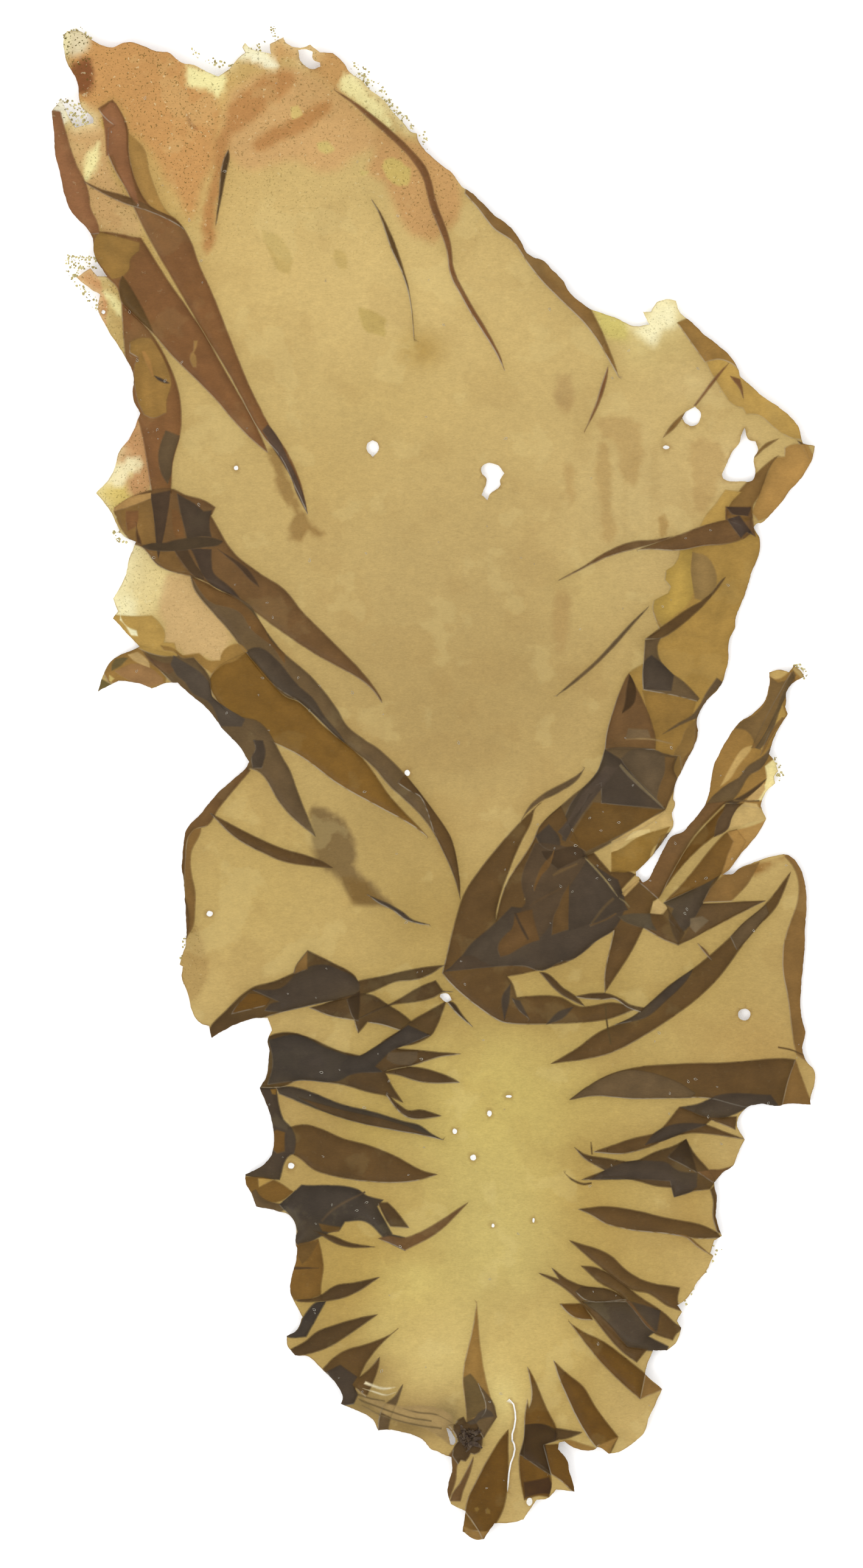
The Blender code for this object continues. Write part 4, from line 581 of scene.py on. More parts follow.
    ("finger_amber", 0, OLIVE, [1077, 1276, 1099, 1278, 1096, 1256, 1102, 1238, 1069, 1184, 1056, 1188,
     1092, 1250]),
    ("finger_spine", 3, TAWNY, [1110, 1303, 1072, 1234, 1050, 1188, 1058, 1188, 1100, 1263, 1108, 1281,
     1116, 1289]),
    ("finger_thin", 3, TAWNY, [1100, 1233, 1080, 1203, 1069, 1183, 1063, 1176, 1067, 1188, 1080, 1215,
     1096, 1234]),
    ("finger_band", 3, GREY, [1079, 1190, 1068, 1176, 1044, 1160, 1032, 1144, 1011, 1131, 994, 1117,
     978, 1097, 1018, 1107, 1033, 1124, 1047, 1147, 1064, 1157, 1076, 1176]),
    ("finger_left", 3, CHESTNUT, [882, 987, 894, 999, 914, 1042, 924, 1059, 944, 1068, 972, 1100,
     1012, 1108, 969, 1062, 950, 1034, 910, 962]),
    ("finger_middle", 3, GOLD, [915, 969, 927, 993, 963, 1052, 1013, 1104, 1037, 1105, 1022, 1087,
     1012, 1067, 994, 1055, 967, 1033, 921, 979]),
    ("finger_right", 3, BRONZE, [920, 957, 948, 986, 1000, 1049, 1014, 1062, 1028, 1066, 1042, 1048,
     1024, 1017, 1005, 999, 975, 982]),
    ("finger_toe", 0, HONEY, [1014, 1062, 1037, 1067, 1061, 1075, 1079, 1084, 1073, 1068, 1018, 1002,
     1004, 995, 1014, 1026, 1023, 1048]),
    ("foot_tuft", 3, DARK, [595, 172, 606, 173, 610, 180, 618, 184, 622, 176, 632, 181, 640, 170,
     642, 160, 647, 154, 646, 142, 642, 132, 634, 128, 629, 130, 621, 118, 613, 120, 610, 114, 602, 126,
     604, 139, 610, 147, 606, 158]),
    ("strip_red", 0, (144, 100, 68), [87, 2157, 96, 2155, 110, 2123, 114, 2082, 123, 2036, 132, 2000,
     119, 2013, 100, 2054, 92, 2077, 82, 2077, 80, 2109, 75, 2141]),
    ("knot_red", 0, (128, 90, 58), [111, 1544, 130, 1544, 130, 1532, 127, 1521, 114, 1513, 111, 1529]),
    ("knot_gold", 0, (126, 95, 57), [163, 1485, 184, 1484, 193, 1464, 203, 1452, 180, 1454, 164, 1462,
     143, 1483]),
    ("knot_middle", 0, (120, 86, 54), [180, 1546, 189, 1544, 196, 1526, 199, 1504, 186, 1502, 181, 1525]),
    ("knot_block", 0, (80, 67, 54), [188, 1570, 217, 1553, 228, 1543, 240, 1544, 237, 1533, 237, 1518,
     240, 1504, 226, 1505, 203, 1502, 190, 1555]),
    ("knot_strip", 0, (82, 66, 52), [149, 1568, 178, 1574, 172, 1525, 160, 1472, 157, 1490, 155, 1518]),
    ("knot_spur", 0, (92, 68, 48), [127, 1526, 129, 1512, 134, 1498, 135, 1493, 128, 1495, 126, 1508]),
    ("knot_ribbon", 0, (82, 68, 52), [134, 1491, 150, 1495, 170, 1496, 185, 1500, 225, 1505, 246, 1502,
     257, 1498, 250, 1492, 240, 1490, 142, 1486]),
    ("knot_stripe", 0, (86, 68, 50), [183, 1485, 204, 1486, 215, 1465, 226, 1449, 229, 1440, 215, 1445,
     206, 1453]),
    ("knot_lower", 0, (80, 66, 54), [209, 1486, 220, 1487, 240, 1486, 240, 1465, 242, 1452, 270, 1427,
     282, 1413, 235, 1436]),
    ("knot_tail", 0, (84, 66, 50), [248, 1487, 292, 1458, 302, 1446, 311, 1430, 298, 1440, 284, 1456]),
    ("middle_top", 0, (84, 66, 50), [232, 1432, 239, 1429, 239, 1419, 236, 1414, 233, 1422]),
    ("flap_body", 0, (158, 120, 78), [95, 1303, 120, 1314, 145, 1310, 167, 1293, 168, 1286, 149, 1280,
     130, 1284, 110, 1293]),
    ("flap_band", 0, (112, 96, 62), [90, 1304, 102, 1310, 115, 1323, 108, 1324, 96, 1322, 90, 1314]),
    ("flap_window", 0, (202, 168, 110), [114, 1328, 129, 1332, 140, 1324, 147, 1315, 147, 1308,
     122, 1320]),
    ("flap_spur", 0, (112, 86, 60), [136, 1334, 150, 1323, 165, 1316, 182, 1315, 184, 1304, 176, 1298,
     156, 1310, 142, 1324]),
    ("flap_tip", 0, (196, 172, 104), [86, 1298, 94, 1292, 89, 1286, 86, 1289]),
    ("heart_mid", 0, (88, 72, 55), [725, 1045, 739, 1045, 799, 1034, 805, 1023, 777, 978, 755, 934,
     730, 901, 708, 893, 683, 901, 697, 934, 711, 956, 705, 990]),
    ("heart_band", 0, (87, 74, 62), [830, 1161, 851, 1158, 811, 1109, 791, 1081, 772, 1050, 759, 1062,
     777, 1084, 794, 1117, 811, 1136]),
    ("knot_top", 0, (80, 64, 52), [1013, 1549, 1050, 1549, 1045, 1536, 1022, 1539]),
    ("knot_lens", 0, (120, 90, 52), [1014, 1537, 1036, 1537, 1049, 1532, 1034, 1522, 1015, 1529]),
    ("knot_wedge", 0, (78, 64, 54), [1014, 1531, 1032, 1537, 1053, 1507, 1043, 1512, 1034, 1503,
     1024, 1516]),
    ("heart_shadow", 0, (78, 63, 48), [786, 1040, 797, 1035, 800, 1025, 760, 1006, 739, 1023, 735, 1033,
     750, 1034]),
    ("heart_left_window", 0, (102, 77, 50), [669, 886, 671, 895, 682, 909, 690, 916, 695, 939, 721, 946,
     723, 933, 732, 900, 716, 895, 684, 877, 673, 874]),
    ("heart_left_line", 0, (78, 64, 50), [694, 940, 697, 940, 706, 921, 716, 901, 714, 900, 703, 918]),
    ("heart_right_window", 0, (102, 78, 50), [761, 952, 764, 961, 776, 983, 776, 915, 750, 907,
     753, 935]),
    ("heart_stroke", 0, (112, 84, 52), [753, 1035, 755, 1034, 750, 1016, 744, 1006, 736, 998, 724, 973,
     723, 975, 726, 989, 739, 1016, 748, 1025]),
    ("heart_second_stroke", 0, (110, 88, 60), [751, 998, 762, 1006, 777, 1011, 788, 1016, 790, 1013,
     753, 995]),
    ("heart_third_stroke", 0, (100, 80, 58), [716, 952, 726, 959, 765, 979, 767, 977, 728, 956,
     717, 949]),
    ("block_seam", 0, (142, 124, 84), [800, 1024, 809, 1016, 837, 984, 850, 965, 849, 964, 828, 991,
     800, 1022]),
    ("block_seam_end", 0, (132, 116, 80), [851, 964, 859, 959, 868, 949, 866, 948, 858, 957, 851, 962]),
    ("block_streak", 0, (102, 84, 60), [842, 964, 826, 949, 809, 925, 811, 924, 831, 948, 845, 961]),
    ("block_low_streak", 0, (104, 82, 56), [807, 923, 823, 928, 847, 941, 848, 939, 838, 932, 808, 920]),
    ("fin_stripe", 0, (82, 70, 58), [806, 1120, 813, 1120, 805, 1112, 791, 1088, 771, 1048, 766, 1050,
     767, 1061, 799, 1105]),
    ("twist_grey", 0, (92, 80, 62), [850, 935, 867, 939, 898, 939, 901, 926, 908, 914, 893, 917,
     859, 928]),
    ("waist_dark", 0, (82, 68, 54), [600, 861, 616, 875, 631, 876, 648, 867, 665, 860, 595, 853]),
    ("low_window", 0, (104, 80, 52), [612, 833, 624, 850, 641, 852, 629, 843]),
    ("side_pane", 0, (98, 82, 62), [854, 1172, 870, 1185, 911, 1183, 920, 1175, 920, 1154, 910, 1126,
     913, 1106, 883, 1136, 861, 1161]),
    ("pane_line", 0, (126, 110, 82), [852, 1161, 861, 1150, 919, 1096, 921, 1098, 885, 1132, 854, 1164]),
    ("pane_brown", 0, (112, 86, 54), [920, 1175, 936, 1174, 934, 1154, 938, 1142, 934, 1126, 921, 1097,
     908, 1111, 911, 1126, 920, 1154]),
    ("side_low_gold", 0, (108, 81, 46), [813, 1106, 919, 1095, 840, 1050, 802, 1032, 776, 1049,
     793, 1079]),
    ("side_tan", 0, (198, 168, 108), [840, 1048, 920, 1094, 931, 1079, 934, 1071, 911, 1067, 899, 1058,
     876, 1053, 861, 1046, 851, 1036, 840, 1032]),
    ("side_tan_pale", 0, (222, 196, 134), [860, 1048, 872, 1062, 897, 1066, 899, 1059, 876, 1054]),
    ("side_amber", 0, (142, 110, 56), [840, 1031, 851, 1035, 876, 1052, 928, 1070, 917, 1051, 901, 1036,
     895, 1017, 879, 1004, 865, 1002, 840, 1002]),
    ("side_scrap", 0, (190, 158, 100), [855, 969, 876, 995, 882, 988, 860, 965]),
    ("side_fin_pane", 0, (122, 100, 72), [865, 1217, 894, 1215, 899, 1203, 861, 1202]),
    ("side_fin_line", 0, (150, 124, 84), [861, 1202, 899, 1202, 932, 1195, 932, 1193, 897, 1200,
     861, 1200]),
    ("side_rim", 0, (118, 90, 54), [966, 1233, 971, 1222, 969, 1197, 961, 1179, 948, 1156, 947, 1169,
     960, 1186, 965, 1204]),
    ("finger_arm", 0, (124, 98, 62), [1026, 1217, 1033, 1226, 1054, 1238, 1069, 1254, 1075, 1272,
     1079, 1294, 1090, 1286, 1102, 1290, 1110, 1297, 1101, 1272, 1065, 1204, 1056, 1190, 1051, 1204,
     1040, 1215]),
    ("finger_spine_dark", 0, (108, 88, 60), [1056, 1188, 1069, 1208, 1083, 1236, 1106, 1292, 1113, 1304,
     1117, 1297, 1095, 1251, 1086, 1226, 1072, 1197, 1063, 1186]),
    ("finger_fan", 0, (196, 164, 100), [1077, 1296, 1079, 1304, 1086, 1305, 1106, 1302, 1095, 1293,
     1086, 1291]),
    ("finger_hook", 0, (176, 150, 96), [1112, 1306, 1115, 1311, 1122, 1307, 1129, 1295, 1126, 1292,
     1117, 1301]),
    ("finger_pale", 0, (238, 220, 154), [1054, 1108, 1072, 1140, 1070, 1161, 1083, 1171, 1090, 1168,
     1091, 1140, 1069, 1111]),
    ("finger_pale_tan", 0, (196, 162, 104), [1040, 1107, 1054, 1123, 1069, 1136, 1071, 1126, 1061, 1110]),
    ("finger_leaf", 0, (86, 68, 48), [1012, 1106, 1026, 1111, 1073, 1142, 1064, 1131, 1040, 1111,
     1026, 1104]),
    ("finger_low_tan", 0, (198, 168, 108), [1015, 1067, 1019, 1081, 1026, 1094, 1040, 1106, 1058, 1104,
     1070, 1082]),
    ("finger_low_dark", 0, (98, 78, 56), [999, 1078, 1008, 1094, 1011, 1104, 1033, 1104, 1022, 1086,
     1014, 1065, 994, 1054]),
    ("kite_right", 0, (102, 80, 54), [977, 954, 1071, 958, 1040, 946, 997, 924, 959, 901, 944, 896]),
    ("kite_pane", 0, (124, 106, 80), [958, 932, 976, 936, 986, 929, 966, 911, 958, 919]),
    ("kite_tip_tan", 0, (200, 170, 112), [899, 939, 902, 956, 910, 962, 920, 952, 924, 947, 917, 939]),
    ("margin_pane", 0, (114, 84, 48), [329, 611, 338, 615, 350, 611, 349, 583, 338, 580, 332, 586]),
    ("margin_top", 0, (138, 104, 54), [328, 676, 338, 677, 336, 668, 331, 669]),
    ("cluster_pane", 0, (98, 82, 62), [505, 731, 549, 733, 549, 721, 539, 711, 514, 714, 502, 721]),
    ("lower_pane", 0, (110, 84, 50), [401, 474, 433, 469, 431, 463, 417, 461, 406, 463]),
    ("lower_stroke", 0, (96, 80, 62), [404, 479, 420, 496, 470, 523, 471, 521, 422, 493, 406, 477]),
    ("thigh_band", 0, (84, 66, 48), [362, 410, 376, 409, 401, 408, 401, 407, 376, 406, 362, 405]),
    ("thigh_pane", 0, (110, 84, 50), [371, 445, 401, 448, 389, 426, 376, 413, 368, 429]),
    ("fan_shade", 0, (164, 138, 92), [456, 226, 475, 216, 525, 200, 555, 202, 585, 196, 602, 186,
     603, 166, 600, 140, 580, 155, 550, 170, 518, 179, 476, 204]),
    ("fan_first", 0, (116, 97, 64), [458, 220, 480, 213, 500, 209, 500, 207, 480, 211, 460, 216]),
    ("fan_second", 0, (116, 97, 64), [460, 212, 510, 193, 540, 184, 570, 179, 570, 177, 540, 182,
     484, 200, 462, 209]),
    ("fan_third", 0, (122, 102, 68), [465, 203, 490, 190, 520, 180, 555, 172, 585, 168, 585, 166,
     555, 170, 520, 178, 490, 188, 465, 201]),
    ("fan_fourth", 0, (124, 104, 70), [526, 197, 550, 192, 576, 189, 600, 176, 576, 187, 550, 190]),
    ("fan_gleam", 0, (228, 214, 176), [469, 234, 482, 229, 498, 225, 516, 229, 498, 228, 471, 237]),
    ("fan_low_gleam", 0, (220, 206, 168), [466, 227, 482, 221, 502, 216, 516, 221, 502, 218, 483, 223]),
    ("foot_leaf_end", 0, (154, 120, 70), [617, 20, 638, 13, 654, 13, 660, 19, 647, 1, 625, 2]),
    ("foot_low_dark", 0, (74, 58, 40), [709, 122, 710, 172, 735, 173, 759, 160, 757, 149, 741, 143,
     748, 102, 730, 114]),
    ("foot_spot", 0, (138, 108, 56), [635, 47, 639, 49, 642, 46, 639, 42, 636, 43]),
    ("foot_low_spot", 0, (140, 110, 58), [651, 45, 654, 48, 658, 44, 658, 39, 652, 40]),
    ("first_crease", 0, (88, 70, 44), [808, 597, 810, 597, 812, 578, 810, 578]),
    ("second_crease", 0, (84, 66, 44), [770, 550, 780, 542, 798, 535, 810, 536, 810, 534, 798, 532,
     780, 539]),
    ("third_crease", 0, (96, 78, 50), [830, 802, 832, 802, 834, 779, 840, 743, 838, 743, 832, 778]),
    ("fourth_crease", 0, (96, 74, 46), [1090, 740, 1110, 736, 1128, 728, 1128, 726, 1110, 734,
     1090, 738]),
    ("fifth_crease", 0, (112, 88, 54), [1023, 1110, 1045, 1109, 1062, 1110, 1062, 1107, 1045, 1107,
     1023, 1108]),
    ("knot_veil", 0, (182, 143, 88), [149, 1571, 120, 1565, 94, 1549, 93, 1543, 111, 1548, 149, 1562]),
    ("middle_amber", 0, (116, 86, 53), [210, 1444, 231, 1436, 253, 1423, 282, 1409, 317, 1372, 326, 1353,
     350, 1329, 350, 1313, 333, 1337, 301, 1364, 282, 1391, 237, 1407, 221, 1425]),
    ("hem_amber", 0, (158, 123, 68), [163, 1342, 180, 1339, 197, 1327, 221, 1330, 235, 1319, 253, 1319,
     257, 1333, 273, 1344, 284, 1343, 294, 1333, 276, 1319, 256, 1312, 241, 1299, 224, 1312, 213, 1324,
     197, 1323, 183, 1332, 168, 1334]),
    ("bleached_curl", 0, (252, 244, 198), [103, 1404, 105, 1380, 114, 1369, 127, 1364, 129, 1356,
     119, 1357, 110, 1372, 102, 1380]),
    ("flap_green_tip", 0, (114, 100, 62), [70, 1273, 69, 1281, 73, 1292, 90, 1283, 87, 1279, 77, 1273]),
    ("lobe_shade", 0, (88, 77, 65), [183, 1327, 234, 1289, 241, 1265, 261, 1249, 290, 1231, 285, 1220,
     253, 1220, 237, 1255, 210, 1271, 199, 1287, 189, 1295, 178, 1313]),
    ("spear_shade", 0, (110, 90, 58), [618, 243, 628, 249, 637, 239, 651, 210, 649, 191, 632, 183,
     624, 176]),
    ("tuft_arm", 0, (86, 74, 60), [622, 176, 632, 181, 641, 191, 651, 197, 661, 191, 664, 185, 641, 179,
     637, 174, 628, 172]),
    ("fin_low_shade", 0, (78, 58, 40), [708, 86, 746, 94, 750, 84, 747, 69, 734, 69, 710, 63]),
    ("third_flame", 0, (174, 130, 74), [135, 1783, 140, 1783, 147, 1771, 153, 1747, 151, 1745,
     139, 1771]),
    ("third_slit", 0, (78, 66, 58), [153, 1747, 163, 1743, 177, 1735, 173, 1735, 160, 1740]),
    ("second_window", 0, (160, 124, 74), [213, 1799, 219, 1799, 217, 1789, 213, 1781, 217, 1773,
     217, 1759, 212, 1759, 207, 1771, 208, 1779, 212, 1784]),
    ("third_low_shade", 0, (100, 82, 60), [171, 1664, 192, 1656, 181, 1616, 180, 1600, 174, 1584,
     165, 1600, 160, 1627]),
    ("side_stripe", 0, (78, 60, 42), [863, 1280, 867, 1299, 872, 1291, 877, 1272, 872, 1253, 856, 1240,
     861, 1259]),
    ("first_tail", 0, (92, 74, 60), [316, 1664, 357, 1596, 368, 1569, 384, 1539, 378, 1565, 359, 1613,
     334, 1662, 324, 1673]),
]
FOLD_SPACING = 0.55
FOLD_CORNER = 42
FOLD_TEARS = ((7, 0.05), (2, 0.02))
FOLD_SEED = 40
fold_loops = [smooth_loop(in_mm(points), FOLD_SPACING, FOLD_CORNER) for _, _, _, points in FOLDS]
fold_loops = [ragged(loop, FOLD_TEARS, FOLD_SEED + seed) for seed, loop in enumerate(fold_loops)]
PLACES_AT_ONCE = 1500


def inside(starts, ends, places):
    """Which places lie inside the closed loops that some sides make."""
    within = []
    for block in range(0, len(places), PLACES_AT_ONCE):
        x, y = places[block:block + PLACES_AT_ONCE, 0:1], places[block:block + PLACES_AT_ONCE, 1:2]
        crosses = (starts[:, 1] > y) != (ends[:, 1] > y)
        rise = ends[:, 1] - starts[:, 1]
        rise = np.where(np.abs(rise) < 1e-12, 1e-12, rise)
        meets = starts[:, 0] + (y - starts[:, 1]) * (ends[:, 0] - starts[:, 0]) / rise
        within.append((crosses & (x < meets)).sum(axis=1) % 2 == 1)
    return np.concatenate(within) if within else np.zeros(0, dtype=bool)


def depth_in(loop, places):
    """Distance from a loop, more than nothing inside it, and the direction that leads out of it."""
    starts, ends = loop, np.roll(loop, -1, axis=0)
    side = ends - starts
    length = np.maximum((side**2).sum(axis=1), 1e-9)
    distance, away = np.zeros(len(places)), np.zeros((len(places), 2))
    for block in range(0, len(places), PLACES_AT_ONCE):
        gap = places[block:block + PLACES_AT_ONCE, None, :] - starts[None]
        share = np.clip((gap * side).sum(axis=2) / length, 0, 1)
        off = gap - share[..., None] * side[None]
        far = (off**2).sum(axis=2)
        nearest = far.argmin(axis=1)
        rows = np.arange(len(far))
        distance[block:block + PLACES_AT_ONCE] = np.sqrt(far[rows, nearest])
        away[block:block + PLACES_AT_ONCE] = off[rows, nearest]
    away /= np.maximum(distance, 1e-6)[:, None]
    within = inside(starts, ends, places)
    away[within] *= -1
    return np.where(within, distance, -distance), away


def ramp(value, low, high):
    """Nothing below low, all above high, and smooth between."""
    share = np.clip((value - low) / (high - low), 0, 1)
    return share * share * (3 - 2 * share)


def near(loop, places, reach):
    """The places within reach of a loop's box."""
    low, high = loop.min(axis=0) - reach, loop.max(axis=0) + reach
    return np.nonzero(((places > low) & (places < high)).all(axis=1))[0]


# How the skin is coloured: the dried pigment is uneven, so the single layer is washed with a few broad
# tones, bleached where it was frayed, and each fold is as dark as the layers that lie there.
BASE_TONE = (196, 168, 108)

# Broad tones of the single layer, painted one after another: middle x and y, reach across and up, the
# colour and how strongly it is washed in.
WASHES = [
    (52, 188, 30, 26, (212, 184, 121), 0.95),
    (30, 196, 16, 20, (212, 182, 118), 0.80),
    (16, 216, 12, 12, (204, 156, 92), 0.90),
    (30, 216, 10, 6, (212, 176, 108), 0.60),
    (14, 196, 7, 12, (206, 170, 102), 0.60),
    (62, 142, 26, 18, (190, 163, 107), 0.85),
    (60, 124, 18, 11, (174, 147, 94), 0.80),
    (76, 132, 14, 16, (180, 153, 98), 0.55),
    (90, 158, 14, 16, (207, 181, 123), 0.80),
    (102, 141, 8, 12, (196, 160, 98), 0.60),
    (97, 145, 4, 5, (178, 156, 112), 0.55),
    (89, 181, 6, 5, (226, 208, 140), 0.55),
    (32, 98, 16, 14, (195, 167, 103), 0.90),
    (23, 118, 10, 12, (192, 162, 100), 0.70),
    (14, 146, 7, 8, (240, 222, 160), 0.60),
    (10, 160, 6, 8, (238, 214, 150), 0.65),
    (99, 84, 13, 14, (186, 158, 96), 0.90),
    (106, 74, 8, 6, (176, 142, 84), 0.55),
    (68, 64, 20, 22, (202, 180, 105), 0.95),
    (66, 44, 16, 16, (202, 182, 112), 0.95),
    (82, 50, 8, 16, (182, 152, 86), 0.75),
    (45, 40, 12, 14, (182, 152, 84), 0.85),
    (60, 25, 14, 9, (218, 194, 124), 0.90),
    (76, 24, 8, 10, (186, 156, 88), 0.60),
    (53, 17, 8, 6, (186, 152, 92), 0.60),
    (40, 60, 8, 10, (172, 142, 84), 0.50),
    (49, 106, 9, 8, (176, 149, 92), 0.75),
    (56, 94, 9, 9, (176, 148, 88), 0.85),
    (52, 80, 10, 5, (178, 150, 88), 0.80),
    (64, 81, 8, 5, (180, 152, 90), 0.80),
    (79, 84, 10, 7, (176, 149, 88), 0.75),
    (37, 71, 6, 4, (180, 150, 92), 0.70),
    (50, 70, 5, 4, (176, 148, 82), 0.70),
    (88, 72, 8, 4, (182, 154, 92), 0.55),
    (48, 61, 5, 6, (186, 160, 90), 0.60),
    (90, 60, 8, 4, (176, 148, 88), 0.60),
    (96, 51, 4, 8, (178, 146, 82), 0.60),
    (90, 40, 6, 5, (182, 152, 88), 0.50),
    (44, 31, 7, 6, (176, 146, 84), 0.55),
    (73, 26, 6, 9, (206, 180, 112), 0.75),
    (61, 20, 5, 4, (178, 152, 96), 0.70),
    (50, 32, 4, 4, (210, 188, 118), 0.60),
    (48, 25, 3, 3, (152, 128, 80), 0.60),
    (55, 19, 5, 3, (168, 142, 92), 0.60),
    (80, 142, 5, 5, (206, 180, 116), 0.40),
    (52, 171, 10, 6, (198, 170, 108), 0.60),
    (40, 160, 8, 7, (196, 166, 104), 0.50),
    (98, 173, 5, 3, (218, 192, 134), 0.60),
    (102, 160, 4, 5, (218, 192, 136), 0.60),
    (30, 171, 7, 4, (206, 178, 116), 0.50),
    (53.5, 17.2, 5, 2.5, (126, 104, 66), 0.70),
    (47.3, 20.2, 3.5, 2, (122, 102, 68), 0.70),
    (59.3, 18.5, 2.2, 2, (118, 102, 70), 0.60),
    (54, 39, 5, 4, (214, 193, 117), 0.75),
    (67.5, 21, 3, 4, (226, 206, 136), 0.75),
    (76, 77, 6, 3, (172, 144, 84), 0.50),
    (85.5, 82.5, 3, 3, (166, 140, 82), 0.40),
    (54, 65.5, 4, 3, (172, 148, 84), 0.50),
    (109, 163, 4, 4, (216, 188, 126), 0.70),
    (55.5, 178.5, 3, 2.5, (178, 144, 76), 0.60),
]

# Small water stains with a soft edge: middle x and y, half width and half height, and strength.
STAINS = [
    (82, 157, 0.9, 7.0, 0.10),
    (86, 155, 0.6, 5.0, 0.09),
    (90.5, 158, 0.8, 6.5, 0.10),
    (95, 156, 0.7, 4.0, 0.08),
    (52, 134, 7.0, 3.5, 0.10),
    (66, 131, 6.0, 2.8, 0.10),
    (60, 118, 9.0, 3.0, 0.12),
    (48, 176, 9.0, 5.0, 0.05),
    (67, 192, 7.0, 5.0, 0.05),
    (36, 178, 4.0, 7.0, 0.06),
    (74, 72, 5.0, 3.0, 0.06),
    (57, 52, 3.5, 6.0, 0.06),
]

